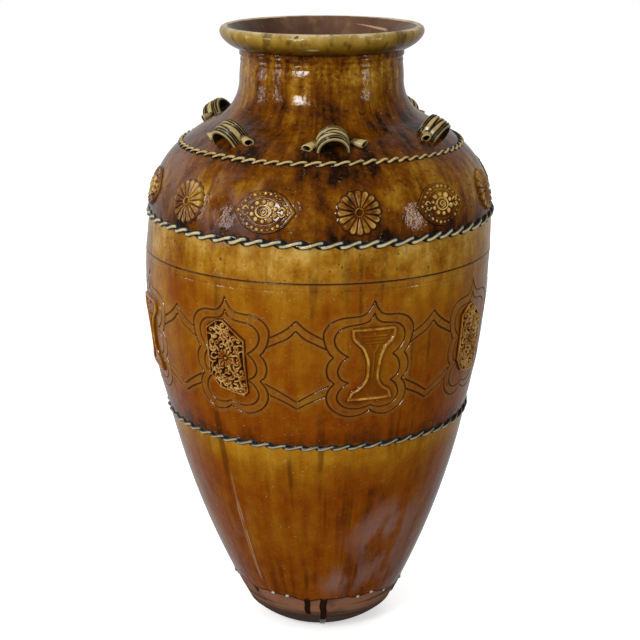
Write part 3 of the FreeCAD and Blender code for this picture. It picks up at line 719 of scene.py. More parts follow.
# The rows of the lower wall are closer together up to a little above the edge of the glaze
fine_top = -lower_bow.half_length + 0.058
fine = np.linspace(-lower_bow.half_length, fine_top, 47)
coarse = np.linspace(fine_top, lower_bow.half_length, 38)[1:]
lower_rows = np.vstack((lower_bow.at(np.concatenate((fine, coarse))), lower_bow.rows(24, -WALL)[::-1]))
lower = spun("lower_body", lower_rows, FINE_STEPS)
coat_foot(lower, lower_bow)
put_on_jar(lower, "lower_wall", "amber_glaze", foot_finish, inside)
inside_finish(lower, inside_of(lower_bow))


def settle_wall(piece, node, coat, is_inside):
    """Gives a wall the jar's lean, its glaze, and the glaze of the inside where the rule says so."""
    reshape(piece, round_jar(*ring_parts(points_of(piece))))
    put_on_jar(piece, node, "amber_glaze", coat, inside)
    inside_finish(piece, is_inside)


shoulder_rows = np.vstack((shoulder_bow.rows(40), shoulder_bow.rows(16, -WALL)[::-1]))
settle_wall(spun("shoulder", shoulder_rows, STEPS), "shoulder_wall", wall_finish, inside_of(shoulder_bow))

# Two fine lines are turned into the band under the lip
BAND_ROWS = ((0.0982, 0.716), (0.0977, 0.7172), (0.0984, 0.7184), (0.0983, 0.7215), (0.0976, 0.7235),
             NECK_TOP, BAND_LOW, (0.0996, 0.7285), (0.0991, 0.7297), (0.0996, 0.7308), LIP_SEAT)
neck_out = np.vstack((root_bow.rows(14), fillet_bow.rows(26)[1:], [(0.0990, 0.708)], BAND_ROWS))
neck_in = np.vstack((fillet_bow.rows(16, -WALL)[::-1], root_bow.rows(8, -WALL)[::-1]))
neck_in = neck_in[neck_in[:, 0] > THROAT_TOP[0] + 0.0001]
neck_rows = np.vstack((neck_out, [THROAT_TOP, (THROAT_TOP[0], NECK[1])], neck_in))
settle_wall(spun("neck", neck_rows, STEPS), "neck_wall", wall_finish,
            lambda radius, height: radius < np.interp(height, neck_out[:, 1], neck_out[:, 0]) - WALL / 2)


# Lip: rolled outwards, with small chips in its glaze

LIP_SIDE = ((99.4, 733), (105.0, 734.6), (113.5, 739.5), (120.2, 746.2), (123.0, 752.6), (121.8, 757.6),
            (118.3, 760.0), (114.3, 759.6), (110.3, 757.0), (103.5, 750.0), (96.0, 739.5), (89.5, 728.0),
            (86.2, 722.0))
# Angle, radius, height, size and width of each chip, and how deep it goes
CHIPS = ((-14.0, 0.1205, 0.7570, 0.0040, 1.3, 1.0), (-5.3, 0.1165, 0.7430, 0.0024, 4.5, 0.22),
         (96.0, 0.119, 0.759, 0.004, 2.0, 0.8))
# How far a chip of full depth goes inwards and down, and how far the lip is out of round
CHIP_IN, CHIP_DOWN, LIP_WAVER = 0.0014, 0.0010, 0.0007
# The glaze of the inside ends at the crest, and follows the slope of the mouth
CREST_R, MOUTH_SLOPE = 0.1135, 1.1
lip = spun("lip", smooth_line(LIP_SIDE, 0.9) * MM, FINE_STEPS)
angle, radius, height = ring_parts(points_of(lip))
chip = np.zeros(len(angle))
for degrees, chip_r, chip_height, size, wide, deep in CHIPS:
    across = away(angle, degrees) * chip_r / wide
    far = np.sqrt(across ** 2 + (radius - chip_r) ** 2 + (height - chip_height) ** 2)
    chip = np.maximum(chip, deep * dome(far, size))
shift = (LIP_WAVER * wavering(angle, 9, (2, 3, 4)) - CHIP_IN * chip) * rise(radius, 0.0995, 0.112)
reshape(lip, round_jar(angle, radius + shift, height - CHIP_DOWN * chip))
mark(lip, "chip", chip)
put_on_jar(lip, "rim_lip", "olive_glaze", lip_finish, inside)
inside_finish(lip, lambda radius, height: (radius < CREST_R)
              & (height > THROAT_TOP[1] - 0.0005 + (radius - THROAT_TOP[0]) * MOUTH_SLOPE))


# Belly, with frames and chevrons cut into the raw clay

belly_r = float(belly_bow.at(BELLY_SPRIG_UP)[0])
TILE = TURN / 4
TILE_START = math.radians((STAND_DEG[0] + PLAQUE_DEG[1]) / 2 - 90)
# Columns and rows of points on a quarter of the belly
BELLY_STEPS, BELLY_ROWS = 66, 51
# Half width of a frame before it is stretched, and the step along a cut line in mm
FRAME_HALF, LINE_STEP = 0.053, 2.4
# Rows of points beside a line, in half widths of it
BESIDE_LINE = (-1.9, -1.0, -0.5, 0.0, 0.5, 1.0, 1.9)
# How far the other points keep away from a line and from the sides of the quarter
CLEAR_OF_LINE, CLEAR_OF_SIDE = 0.0038, 0.002


def frame_lines(middle, stretch):
    """Both lines of one frame round a sprig at this angle, its halves stretched as the hand drew them."""
    lines = []
    for halves in (OUTER_FRAME, INNER_FRAME):
        for half in halves:
            curve = smooth_line(half, LINE_STEP) * MM
            for side in stretch:
                lines.append(curve * (side, 1) + (middle * belly_r, BELLY_SPRIG_UP))
    return lines


def chevron_lines(left, right, from_left, from_right):
    """Roofs and valleys between the frames at two angles."""
    start, stop = left * belly_r + FRAME_HALF * from_left, right * belly_r + FRAME_HALF * from_right
    lines = []
    for shape in CHEVRONS:
        for side in (1, -1):
            wide = [(x * side * (stop - start) / 2 / MM / GAP_HALF, y) for x, y in shape]
            lines.append(smooth_line(wide, LINE_STEP) * MM + ((start + stop) / 2, BELLY_SPRIG_UP))
    return lines


def belly_skin():
    """Outside of a quarter of the belly as flat triangles: points, corners, and each point's marks."""
    plaque, stand = math.radians(PLAQUE_DEG[0]), math.radians(STAND_DEG[0])
    lines = frame_lines(plaque, PLAQUE_FRAME) + frame_lines(stand, STAND_FRAME)
    lines += chevron_lines(plaque, stand, PLAQUE_FRAME[0], STAND_FRAME[1])
    lines += chevron_lines(stand - TILE, plaque, STAND_FRAME[0], PLAQUE_FRAME[1])
    lines += chevron_lines(stand, plaque + TILE, STAND_FRAME[0], PLAQUE_FRAME[1])
    low, high = -belly_bow.half_length, belly_bow.half_length
    left, right = TILE_START * belly_r, (TILE_START + TILE) * belly_r
    ring = np.linspace(left, right, 2 * BELLY_STEPS + 1)
    ring_up = float(belly_bow.along(*np.array(RING_LINE)[:, None])[0])
    for drop in (0, FAINT_DROP):
        lines.append(np.stack((ring, np.full(len(ring), ring_up - drop)), -1))
    flat, edges, dense, strength = [], [], [], []

    def chain(points):
        first = len(flat)
        flat.extend(map(Vector, points))
        edges.extend((i, i + 1) for i in range(first, first + len(points) - 1))

    columns = np.linspace(left, right, BELLY_STEPS + 1)
    rows = np.linspace(low, high, BELLY_ROWS + 1)
    for side in (left, right):
        chain([(side, v) for v in rows])
    for end in (low, high):
        chain([(u, end) for u in columns])
    for i, line in enumerate(lines):
        way = np.gradient(line, axis=0)
        across = np.stack((-way[:, 1], way[:, 0]), -1) / np.hypot(way[:, 0], way[:, 1])[:, None]
        for offset in BESIDE_LINE:
            chain(line + across * (offset * GROOVE_HALF))
        for a, b in zip(line, line[1:]):
            for t in (0, 0.2, 0.4, 0.6, 0.8):
                dense.append((*(a + (b - a) * t), 0))
                strength.append(FAINT if i == len(lines) - 1 else 1.0)
    tree = kdtree.KDTree(len(dense))
    for i, point in enumerate(dense):
        tree.insert(point, i)
    tree.balance()
    for row, v in enumerate(rows[1:-1]):
        for u in columns[:-1] + (columns[1] - columns[0]) * (0.5 if row % 2 else 1.0):
            on_quarter = left + CLEAR_OF_SIDE < u < right - CLEAR_OF_SIDE
            if on_quarter and tree.find((u, v, 0))[2] > CLEAR_OF_LINE:
                flat.append(Vector((u, v)))
    made, _, faces, *_ = geometry.delaunay_2d_cdt(flat, edges, [], 0, 1e-7)
    made = np.array(made)
    middles = [np.mean(made[list(f)], axis=0) for f in faces]
    keep = [f for f, (u, v) in zip(faces, middles) if left < u < right and low < v < high]
    found = [tree.find((u, v, 0)) for u, v in made]
    far = np.array([f[2] for f in found]) / GROOVE_HALF
    force = np.array([strength[f[1]] for f in found])
    edge = rise(high - np.abs(made[:, 1]), 0.002, 0.008)
    marks = {"groove": dome(far, 1.0), "burr": np.exp(-((far - 1.45) / 0.45) ** 2),
             "pool": np.exp(-(far * GROOVE_HALF / GROOVE_POOL) ** 2)}
    return made, keep, {name: force * values * edge for name, values in marks.items()}


flat, faces, marks = belly_skin()
face = belly_bow.at(flat[:, 1], BURR_HIGH * marks["burr"] - GROOVE_DEEP * marks["groove"])
skin_points, skin_faces = [], []
for quarter in range(4):
    skin_faces += [tuple(i + quarter * len(flat) for i in f) for f in faces]
    skin_points.append(on_ring(flat[:, 0] / belly_r + quarter * TILE, face[:, 0], face[:, 1]))
skin = bpy.data.meshes.new("belly")
skin.from_pydata(np.vstack(skin_points).tolist(), [], skin_faces)
belly = bpy.data.objects.new("belly", skin)
shot.collection.objects.link(belly)
for name, values in marks.items():
    mark(belly, name, np.tile(values, 4))
inner_rows = np.vstack((belly_bow.rows(1)[:1], belly_bow.rows(24, -WALL), belly_bow.rows(1)[1:]))


def belly_inside(u, v):
    """Inside of the belly by its share round the jar and up the wall."""
    radius, height = inner_rows[np.rint(v * (len(inner_rows) - 1)).astype(int)].T
    return on_ring(u * TURN + TILE_START, radius, height)


inner_side = wrapped_grid("belly_inside", 4 * BELLY_STEPS, len(inner_rows) - 1, belly_inside)
pick(inner_side, belly)
bpy.ops.object.join()
weld(belly)
settle_wall(belly, "belly_wall", belly_finish, inside_of(belly_bow))


# Ropes: two strands rolled together, pressed flat on each seam

# Seam, walls below and above it, strand radius, twists round the jar, flatness, angle of the lump, seed
ROPES = {
    "top_rope": (TOP_SEAM, shoulder_bow, root_bow, 0.0021, 35, 0.72, 170.0, 8),
    "middle_rope": (MIDDLE_SEAM, belly_bow, shoulder_bow, 0.0027, 31, 0.68, -26.0, 11),
    "lower_rope": (LOWER_SEAM, lower_bow, belly_bow, 0.0023, 30, 0.66, 200.0, 10),
}
# Half length of a lump as an angle, and how far the strands are swollen to press into each other
LUMP_HALF, SWELL = 0.05, 1.08


def strand(name, rope, phase):
    """One strand once round the jar, thicker at the lump where the rope's ends meet."""
    seam, below, above, thick, twists, flatness, lump_deg, seed = ROPES[rope]
    facing = below.normal(below.half_length) + above.normal(-above.half_length)
    out = facing / np.hypot(*facing)
    up = np.array((-out[1], out[0]))

    def run_of(angle):
        """Thickness, twist and wander of the strand at each angle."""
        lump = np.exp(-(away(angle, lump_deg) / LUMP_HALF) ** 2)
        size = thick * (1 + 0.07 * wavering(angle, seed) + 0.25 * lump)
        twist = phase - twists * angle + 0.35 * wavering(angle, seed + 5)
        return size, twist, 0.0005 * wavering(angle, seed + 9)

    def place(u, v):
        angle = v * TURN
        size, twist, wander = run_of(angle)
        centre_up, centre_out = np.cos(twist) * size, np.sin(twist) * size
        ring = u * TURN
        high = centre_up + np.cos(ring) * size * SWELL
        proud = (centre_out + np.sin(ring) * size * SWELL) * flatness
        radius = seam[0] + out[0] * proud + up[0] * (high + wander)
        return round_jar(angle, radius, seam[1] + out[1] * proud + up[1] * (high + wander))

    def relief(points):
        """How squarely each point of the strand faces outwards, and how high the strand lies there."""
        x, y, z = points.T
        x = x - np.interp(z, LEAN_HEIGHT, LEAN)
        angle = np.arctan2(x, -y) % TURN
        size, twist, _ = run_of(angle)
        proud = ((np.hypot(x, y) - seam[0]) * out[0] + (z - seam[1]) * out[1]) / flatness
        face = (proud - np.sin(twist) * size) / (size * SWELL)
        return face * rise(np.sin(twist), -0.75, 0.0)

    piece = weld(wrapped_grid(name, 16, twists * 20, place))
    mark(piece, "relief", relief(points_of(piece)))
    return piece


for rope in ROPES:
    for letter, phase in (("a", 0.0), ("b", math.pi)):
        piece = strand("%s_%s" % (rope, letter), rope, phase)
        put_on_jar(piece, "%s_strand_%s" % (rope, letter), "rope_glaze", rope_finish[rope])


# Lugs: combed straps bent into an arch, with a small rolled tube at each foot

ARCH_R, STRAP_THICK, STRAP_WIDTH, STRAP_SINK, COMB_DEEP = 0.0145, 0.0042, 0.026, 0.004, 0.0016
# How much taller than round the arch is, how much it widens down the slope, and the glaze on top of it
ARCH_RISE, ARCH_FLARE, STRAP_COAT = 1.09, 0.10, 0.0006
# Half section of a rolled tube, (along, out) in mm: tail, outside, mouth, hole
TUBE_SIDE = ((0, 0), (0, 2.2), (2, 3.0), (8, 3.9), (14, 4.8), (17.4, 5.3), (18.6, 5.1), (19, 4.4),
             (18.4, 3.5), (17.2, 3.0), (13, 2.7), (7.5, 2.2), (7, 0))
TUBE_PROFILE = smooth_line(TUBE_SIDE, 0.8) * MM
# Side of each tube, its name, its distance from the middle of the strap and its mean tilt
TUBES = ((-1, "left", 0.0150, 0.5), (1, "right", 0.0180, 0.25))
# How far up the slope and out from the wall a tube lies
TUBE_UP, TUBE_OUT = 0.003, 0.0036
# Radius of the wall under the lugs, and the share of its roundness that counts across the slope
ROOT_R, ROOT_SHARE = 0.1477, 0.54


def lug_place(local, degrees):
    """Points beside a lug, by (across, up the slope, out), on the root of the neck at an angle."""
    across, up, out = local.T
    spot, normal = root_bow.at(LUG_UP), root_bow.normal(LUG_UP)
    radius = spot[0] + normal[0] * out - normal[1] * up
    height = spot[1] + normal[1] * out + normal[0] * up
    sine, cosine = math.sin(math.radians(degrees)), math.cos(math.radians(degrees))
    x, y = across * cosine + radius * sine, across * sine - radius * cosine
    return settled(np.stack((x, y, height), -1))


def comb_cut(share, turn):
    """Depth, from 0 to 1, of the lines combed along a strap: some run over it and two fork."""
    fork = 0.17 * np.clip((turn + 1.15) / 2.0, 0, 1)
    sway = 0.02 * np.sin(2 * turn)
    lines = (0.10, 0.215 + sway, 0.50 - fork, 0.50 + fork, 0.79 - sway, 0.90)
    return np.max([np.exp(-((share - line) / 0.042) ** 2) * np.ones_like(turn) for line in lines], axis=0)


def strap_under(share):
    """Radius of the strap's underside by the share of its width."""
    return ARCH_R * (1 + ARCH_FLARE * (0.5 - share))


def strap_local(u, v):
    """Strap by its share round the section and its share from the left foot over to the right one."""
    top = u < 0.5
    share = np.where(top, u * 2, 2 - u * 2)
    width = (share - 0.5) * STRAP_WIDTH
    way = (v - 0.5) * (math.pi * ARCH_R + 2 * STRAP_SINK)
    turn = np.clip(way / ARCH_R, -math.pi / 2, math.pi / 2)
    drop = np.maximum(np.abs(way) - math.pi / 2 * ARCH_R, 0)
    cut = COMB_DEEP * comb_cut(share, turn) * rise(np.abs(turn), 1.57, 1.35)
    edge = np.sqrt(np.clip(1 - (2 * share - 1) ** 8, 0, 1))
    reach = strap_under(share) + np.where(top, (STRAP_THICK + STRAP_COAT - cut) * edge, 0)
    return np.stack((reach * np.sin(turn), width, ARCH_RISE * reach * np.cos(turn) - drop), -1)


def tube_local(u, v):
    """Rolled tube by its share round and its share along its half section."""
    along, out = TUBE_PROFILE[np.rint(v * (len(TUBE_PROFILE) - 1)).astype(int)].T
    wide, thick = out * np.cos(u * TURN), out * np.sin(u * TURN)
    slant = rise(along, 0.004, 0.017) * 0.6
    return np.stack((along + slant * wide, wide * 1.06, thick * 0.94), -1)


strap = weld(wrapped_grid("lug_strap", 128, 64, strap_local))
strap_points = points_of(strap)
strap_high = np.maximum(strap_points[:, 2], 0)
strap_share = strap_points[:, 1] / STRAP_WIDTH + 0.5
strap_face = np.hypot(strap_points[:, 0], strap_high / ARCH_RISE) - strap_under(strap_share)
strap_cut = comb_cut(strap_share, np.arctan2(strap_points[:, 0], strap_high))
# Comb lines are darker where glaze pools; the underside is set low so it takes the hollow colour, as
# painted shade under the arch
strap_relief_and_shade = np.where(strap_face > 0.0004, 0.95 - strap_cut, 0.3)
tube = weld(wrapped_grid("lug_tube", 28, len(TUBE_PROFILE) - 1, tube_local))
tube_points = points_of(tube)
tube_out = np.hypot(tube_points[:, 1], tube_points[:, 2])
tube_relief = np.clip((tube_out - 0.0024) / 0.0022, 0, 0.62) + 0.4 * rise(tube_out, 0.0036, 0.0046)
for number, degrees in enumerate(LUG_DEG, 1):
    made = copy_of(strap, "lug_%d_arch" % number)
    reshape(made, lug_place(strap_points, degrees))
    mark(made, "relief", strap_relief_and_shade)
    put_on_jar(made, "lug_%d_strap" % number, "lug_glaze", lug_finish)
    for side, hand, start, tilt in TUBES:
        made = copy_of(tube, "lug_%d_%s_tube" % (number, hand))
        tilt += 0.12 * math.sin(number * 2.3 + side)
        along, wide, thick = tube_points.T
        across = start + along * math.cos(tilt) + wide * math.sin(tilt)
        up = TUBE_UP + wide * math.cos(tilt) - along * math.sin(tilt)
        sag = across ** 2 / (2 * ROOT_R) * ROOT_SHARE
        local = np.stack((across * side, up, TUBE_OUT + thick - sag), -1)
        reshape(made, lug_place(local, degrees))
        if side < 0:
            edit(made, (bpy.ops.mesh.flip_normals, {}))
        mark(made, "relief", tube_relief)
        put_on_jar(made, "lug_%d_%s_roll" % (number, hand), "lug_glaze", lug_finish)
for piece in (strap, tube):
    bpy.data.objects.remove(piece)


# Sprigs: pressed in a mould and put on the wall, modelled flat and then bent round it


def bent(bow, along, local, degrees):
    """Points of a flat sprig, (across, up, out), bent round the wall at an angle."""
    across, up, out = local.T
    place = bow.at(along + up, out)
    return round_jar(math.radians(degrees) + across / place[:, 0], place[:, 0], place[:, 1])


# Width of the hem of glaze round a sprig, its height, and how deep its outer edge is in the wall
HEM, HEM_HIGH, HEM_SINK = 0.0018, 0.0003, 0.0009
# Share of a fan's rows that are on its face, and how far its back bulges into the wall
FAN_FACE, FAN_BULGE = 0.93, 0.0012


def hemmed(inset, height):
    """Height of a sprig's face, drawn down to a thin hem outside its edge, which sinks into the wall."""
    skirt = rise(inset, 0.0011, 0.0)
    past = np.clip(-inset / HEM, 0, 1)
    sinking = HEM_HIGH - (HEM_HIGH + HEM_SINK) * past ** 2
    return np.where(inset > 0, height * (1 - skirt) + HEM_HIGH * skirt, sinking)


def fan(name, columns, rows, outline, relief):
    """Flat sprig on a fan of points: its outline by angle, and the height of its face at (across, up)."""
    def place(u, v):
        turn = u * TURN
        edge = outline(turn)
        on_face, back = v <= FAN_FACE, rise(v, FAN_FACE, 1.0)
        reach = np.where(on_face, v / FAN_FACE * (edge + HEM), (edge + HEM) * (1 - back))
        across, up = reach * np.sin(turn), reach * np.cos(turn)
        face = hemmed(edge - reach, relief(np.stack((across, up), -1)))
        return np.stack((across, up, np.where(on_face, face, -HEM_SINK - FAN_BULGE * back)), -1)
    return weld(wrapped_grid(name, columns, rows, place))


def spread(piece, kind, bow, along, places, coat, crest, inset_of):
    """Puts a copy of a flat sprig at each place on the wall."""
    local = points_of(piece)
    inset = inset_of(local[:, :2])
    pool = np.where(inset > 0, rise(inset, 0.0010, 0.0), 1 - np.clip(-inset / HEM, 0, 1) ** 0.7)
    for number, degrees in enumerate(places, 1):
        made = copy_of(piece, "%s_sprig_%d" % (kind, number))
        reshape(made, bent(bow, along, local, degrees))
        mark(made, "relief", np.clip(local[:, 2] / crest, 0, 1.2) + 0.6 * (inset < 0))
        mark(made, "pool", pool)
        put_on_jar(made, "%s_%d" % (kind, number), "sprig_glaze", coat)
    bpy.data.objects.remove(piece)


def fan_inset(outline):
    """Distance inside an outline that is given by angle."""
    return lambda flat: outline(np.arctan2(flat[:, 0], flat[:, 1])) - np.hypot(*flat.T)


def petals(flat, count, root, tip, low, high, gap, spoon):
    """Ring of petals round the middle, from root to tip, each round-ended and hollowed like a spoon."""
    reach = np.hypot(*flat.T)
    wedge = TURN / count
    way = (np.arctan2(flat[:, 0], flat[:, 1]) + wedge / 2) % wedge - wedge / 2
    along, across = reach * np.cos(way), np.abs(reach * np.sin(way))
    bend = tip / (1 + math.tan(wedge / 2))
    half = np.maximum(np.minimum(along, bend) * math.tan(wedge / 2) * gap, 1e-6)
    share = np.hypot(across, np.maximum(along - bend, 0)) / half
    face = low + (high - low) * rise(along, root, tip * 0.9)
    hollow = 1 - spoon * np.exp(-(share / 0.5) ** 2) * rise(along, root * 1.5, tip * 0.7)
    return face * np.sqrt(np.clip(1 - share ** 2, 0, 1)) * hollow * rise(along, root * 0.6, root * 1.2)


def beads(flat, places, size, seed=0):
    """Beads at these places, some of them worn lower and smaller."""
    sizes = size * np.random.default_rng(seed).uniform(0.72, 1.08, len(places))
    return np.max([r * dome(np.hypot(*(flat - p).T), r) for p, r in zip(np.array(places), sizes)], axis=0)


def stroke(flat, line, half, tip, high):
    """Raised line that narrows from one half width to another."""
    far, share = to_line(flat, smooth_line(np.array(line) * MM, 1.5 * MM))
    return high * dome(far, half + (tip - half) * share)


def rosette_outline(turn):
    return 0.0258 + 0.0008 * np.cos(16 * turn)


def rosette_face(flat):
    """Sixteen hollowed petals round a ring."""
    reach = np.hypot(*flat.T)
    ring = 0.0030 * dome(reach - 0.0044, 0.0011)
    face = petals(flat, 16, 0.0060, 0.0256, 0.0022, 0.0038, 0.93, 0.32)
    return 0.0006 + np.maximum(face, ring) - 0.0003 * dome(reach, 0.0034)


LOZENGE_SIDE = ((0, 25), (12, 23.2), (24, 16.5), (32, 7.5), (37, 0))


def lozenge_outline(turn):
    quarter = smooth_line(LOZENGE_SIDE, 1.0) * MM
    turns = np.arctan2(quarter[:, 0], quarter[:, 1])
    return np.interp(np.abs((turn + math.pi / 2) % math.pi - math.pi / 2), turns, np.hypot(*quarter.T))


def lozenge_ring(scale, count):
    """Places evenly round the lozenge, drawn in by a scale."""
    quarter = smooth_line(LOZENGE_SIDE, 0.5)
    right = np.vstack((quarter, quarter[::-1] * (1, -1)))
    whole = np.vstack((right, right * (-1, -1))) * MM * scale
    length = np.concatenate(([0], np.cumsum(np.hypot(*np.diff(whole, axis=0).T))))
    stops = np.linspace(0, length[-1], count, endpoint=False)
    return np.stack((np.interp(stops, length, whole[:, 0]), np.interp(stops, length, whole[:, 1])), -1)


def lozenge_face(flat):
    """Beaded border, a ring of round petals and a curl in an oval, with a small hook at each end."""
    def ridge(middle, half):
        return 0.0012 * np.exp(-((share - middle) / half) ** 2)

    share = np.hypot(*flat.T) / lozenge_outline(np.arctan2(flat[:, 0], flat[:, 1]))
    face = 0.0012 + ridge(0.955, 0.025) + ridge(0.68, 0.03)
    face = np.maximum(face, 0.0010 + beads(flat, lozenge_ring(0.82, 24), 0.0023, 5))
    rose = [(0.0142 * math.sin(a), 0.0108 * math.cos(a)) for a in np.linspace(0, TURN, 11)[:-1]]
    face = np.maximum(face, 0.0010 + beads(flat, rose, 0.0033, 8))
    oval = np.hypot(flat[:, 0] / 0.0088, flat[:, 1] / 0.0066)
    face = np.maximum(face, 0.0012 + 0.0022 * dome((oval - 1) * 0.0075, 0.0013))
    turns, reaches = np.linspace(0.5, 9.5, 22), np.linspace(0.9, 4.2, 22)
    curl = np.stack((reaches * np.sin(turns) * 1.25, reaches * np.cos(turns)), -1)
    face = np.maximum(face, 0.0012 + stroke(flat, curl, 0.0008, 0.0010, 0.0022))
    for side in (1, -1):
        for end in (1, -1):
            hook = np.array(((18, 2.5), (21.5, 5), (25, 2.6), (22.8, 1.2))) * (side, end)
            face = np.maximum(face, 0.0012 + stroke(flat, hook, 0.0012, 0.0008, 0.0022))
    return face


# Irregular eight-sided outline, clockwise from its top left corner
PLAQUE_CORNERS = ((-11.3, 46.5), (-2.2, 47.5), (25.8, 24.5), (26.4, -40.5), (20.6, -46.0), (-11.6, -39.5),
                  (-25.0, -22.5), (-26.2, 35.5))


def plaque_outline(turn):
    """Outline by angle from the top."""
    loop = np.array(PLAQUE_CORNERS + PLAQUE_CORNERS[:1], float) * MM
    rim = np.vstack([np.linspace(a, b, 60, endpoint=False) for a, b in zip(loop, loop[1:])])
    turns = np.arctan2(rim[:, 0], rim[:, 1]) % TURN
    order = np.argsort(turns)
    return np.interp(turn % TURN, turns[order], np.hypot(*rim.T)[order], period=TURN)


# A curl and a leaf of the plaque, in mm
CURL = np.array(((-5.0, -2.6), (-1.5, -3.2), (2.2, -1.6), (3.4, 1.4), (1.4, 3.2), (-0.8, 2.0), (-0.2, 0.4)))
LEAF = np.array(((-5.0, 1.2), (-1.0, -1.0), (2.6, -0.2), (5.2, 2.4)))


def plaque_scrolls():
    """Curls and leaves that fill the plaque round its flower."""
    dice = np.random.default_rng(31)
    places, lines = [], []
    for _ in range(900):
        spot = dice.uniform((-20, -40), (21, 39))
        inset = plaque_outline(np.arctan2(spot[:1], spot[1:]))[0] / MM - np.hypot(*spot)
        if inset > 5.6 and np.hypot(*spot) > 14.5 and all(np.hypot(*(spot - p)) > 5.0 for p in places):
            places.append(spot)
    for i, spot in enumerate(places):
        turn = math.atan2(spot[1], spot[0]) + dice.normal() * 0.7
        stretch = (dice.uniform(0.75, 0.95), dice.choice((-1, 1)) * dice.uniform(0.75, 0.95))
        spin = np.array(((math.cos(turn), math.sin(turn)), (-math.sin(turn), math.cos(turn))))
        lines.append((CURL if i % 3 else LEAF) * stretch @ spin + spot)
    return lines


def plaque_face(flat):
    """Flower in scrolls, inside a raised rim."""
    reach, turn = np.hypot(*flat.T), np.arctan2(flat[:, 0], flat[:, 1])
    face = 0.0004 + 0.0030 * dome(plaque_outline(turn) - reach - 0.0018, 0.0012)
    flower = petals(flat, 12, 0.0034, 0.0120, 0.0022, 0.0034, 0.92, 0.25)
    face = np.maximum(face, 0.0004 + np.maximum(flower, 0.0030 * dome(reach, 0.0022)))
    for line in plaque_scrolls():
        face = np.maximum(face, 0.0004 + stroke(flat, line, 0.0015, 0.0011, 0.0033))
    return face


# Right side of the hourglass in mm from its top, and its strokes: two ends and the half widths there
STAND_SIDE = ((22, 42), (26.5, 41), (27.6, 37), (27.3, 31), (25.2, 26), (20, 20.5), (15.2, 15.5), (11.5, 7),
              (9.6, 0.5), (8.7, -9), (8.7, -18), (11, -25.5), (15.5, -31), (22.5, -35.5), (25, -38.5),
              (26.8, -43), (28, -47), (26.8, -49))
STAND_STROKES = (((-16, 31), (16, 31), 0.9, 0.9), ((-14, 27), (14, 27), 0.8, 0.8),
                 ((-11, 23), (11, 23), 0.8, 0.8), ((-5, 20), (0, 10), 1.0, 0.7),
                 ((5, 20), (0, 10), 1.0, 0.7), ((0, 10), (0, -22), 0.9, 0.7))
STAND_TOP, STAND_FOOT = 0.042, -0.049
# Shift of its middle to the right, by height
STAND_SHEAR = ((STAND_TOP, 0.0004), (-0.002, 0.0013), (STAND_FOOT, -0.0015))
# Columns of points on its face and on its back
STAND_FACE, STAND_BACK = 76, 20
stand_side = smooth_line(STAND_SIDE, 0.5) * MM


def stand_half(up):
    """Half width of the hourglass by height."""
    return np.interp(up, stand_side[::-1, 1], stand_side[::-1, 0])


def stand_inset(flat):
    """Distance inside the hourglass outline, and outside it less than nothing."""
    across, up = np.abs(flat[:, 0] - stand_middle(flat[:, 1])), flat[:, 1]
    far, _ = to_line(np.stack((across, up), -1), stand_side)
    within = stand_half(up) - across
    level = np.minimum(STAND_TOP - up, up - STAND_FOOT)
    return np.minimum(np.where(within > 0, far, np.maximum(within, -far)), level)


def stand_middle(up):
    heights, shifts = np.array(STAND_SHEAR)[::-1].T
    return np.interp(up, heights, shifts)


def stand_sprig():
    """Flat hourglass sprig, on rows as wide as it is, which go round it by its face and its back."""
    columns = STAND_FACE + STAND_BACK

    def place(u, v):
        column = np.rint(u * columns)
        on_face = column <= STAND_FACE
        share = np.where(on_face, column / STAND_FACE, (columns - column) / STAND_BACK)
        up = STAND_TOP + HEM - v * (STAND_TOP - STAND_FOOT + 2 * HEM)
        across = (share * 2 - 1) * (stand_half(up) + 1.4 * HEM)
        flat = np.stack((across, up), -1)
        across = across + stand_middle(up)
        inset = stand_inset(np.stack((across, up), -1))
        face = 0.0008 + 0.0025 * dome(inset - 0.0025, 0.0021)
        for *line, half, tip in STAND_STROKES:
            face = np.maximum(face, 0.0010 + stroke(flat, line, half * MM, tip * MM, 0.0012))
        face = np.maximum(face, 0.0008 + beads(flat, [(0, 0.034), (0.018, 0.036)], 0.0021))
        face = hemmed(inset, face)
        sunk = rise(np.minimum(share, 1 - share), 0, 0.04)
        back = face * (1 - sunk) - (HEM_SINK + 0.0008) * sunk
        return np.stack((across, up, np.where(on_face, face, back)), -1)

    return weld(wrapped_grid("stand_flat", columns, 124, place))


plaque_up, stand_up = BELLY_SPRIG_UP + PLAQUE_LIFT, BELLY_SPRIG_UP + STAND_LIFT
# Kind, columns and rows of its fan, outline, face, wall, way up the wall, angles, finish, crest height
for kind, columns, rows, outline, face, *where, coat, crest in (
        ("rosette", 256, 46, rosette_outline, rosette_face,
         shoulder_bow, SHOULDER_SPRIG_UP, ROSETTE_DEG, rosette_finish, 0.0040),
        ("lozenge", 240, 70, lozenge_outline, lozenge_face,
         shoulder_bow, SHOULDER_SPRIG_UP, LOZENGE_DEG, lozenge_finish, 0.0034),
        ("plaque", 300, 90, plaque_outline, plaque_face,
         belly_bow, plaque_up, PLAQUE_DEG, plaque_finish, 0.0036)):
    piece = fan(kind + "_flat", columns, rows, outline, face)
    spread(piece, kind, *where, coat, crest, fan_inset(outline))
spread(stand_sprig(), "stand", belly_bow, stand_up, STAND_DEG, stand_finish, 0.0033, stand_inset)


# Stage: pale floor, soft light, the photograph's camera


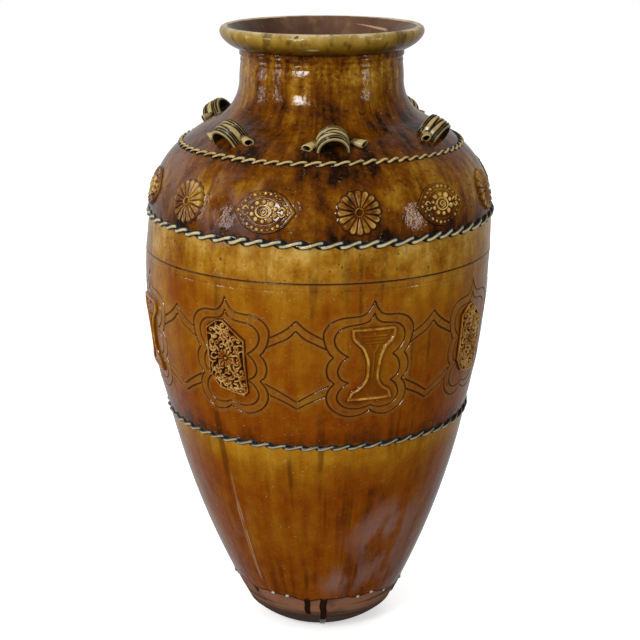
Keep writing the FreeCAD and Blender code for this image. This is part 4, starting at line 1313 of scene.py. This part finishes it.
def soft_light(name, degrees, lift, distance, size, power, aim=0.40):
    """Area light on a circle round the jar, turned to its middle."""
    turn = math.radians(degrees)
    place = Vector((distance * math.sin(turn), -distance * math.cos(turn), aim + lift))
    light = bpy.data.lights.new(name, "AREA")
    light.shape, light.size, light.size_y, light.energy = "RECTANGLE", size[0], size[1], power
    lamp = bpy.data.objects.new(name, light)
    lamp.location = place
    lamp.rotation_euler = (Vector((0, 0, aim)) - place).to_track_quat("-Z", "Y").to_euler()
    shot.collection.objects.link(lamp)
    return lamp


def pale_floor(p):
    cloud = p.noise(3, 2)
    return cloud.mix(paint(250, 250, 250), paint(252, 252, 252)), 0.75 + cloud * 0.1, cloud * 0.00001


floor = primitive("plane", "floor", size=14)
floor_finish = finish("pale_floor", pale_floor)
floor_shader = floor_finish.node_tree.nodes["Principled BSDF"]
floor_shader.inputs["Emission Color"].default_value = (1, 1, 1, 1)
floor_shader.inputs["Emission Strength"].default_value = 0.5
floor.data.materials.append(floor_finish)
floor.visible_glossy = floor.visible_diffuse = False

soft_light("key_window", -30, 1.0, 2.0, (0.5, 0.7), 20)
soft_light("left_strip", -62, 0.55, 2.2, (0.10, 0.9), 3.0)
soft_light("right_strip", 62, 0.55, 2.2, (0.10, 0.9), 2.5)
soft_light("far_left_strip", -88, 0.6, 2.2, (0.14, 0.9), 3.0)
soft_light("back_fill", 165, 1.2, 2.6, (2.0, 1.6), 26).visible_glossy = False

world = bpy.data.worlds.new("studio")
world.use_nodes = True
shot.world = world
sky = world.node_tree
way = Field(sky, sky.nodes.new("ShaderNodeTexCoord").outputs["Generated"])
right, behind, above = (way.axis(i) for i in range(3))
seen, shiny = (way.node("LightPath", {}, {}, out=name) for name in ("Is Camera Ray", "Is Glossy Ray"))
room = 0.54 + above * 0.18 - behind * 0.11 - right * 0.06
mirrored = 0.03 + behind.rise(0.05, 1.0) * (0.42 - right * 0.14)
light = shiny * mirrored + (1 - shiny) * room
light = seen + (1 - seen) * light
sky.links.new(light.socket, sky.nodes["Background"].inputs["Color"])

shot.view_settings.view_transform = "Standard"
lens = bpy.data.cameras.new("photo_camera")
lens.lens, lens.sensor_width = 88.04, 36.0
camera = bpy.data.objects.new("photo_camera", lens)
camera.location = (0.0, -1.901, 0.947)
camera.rotation_euler = (math.radians(73.69), 0, 0)
shot.collection.objects.link(camera)
shot.camera = camera
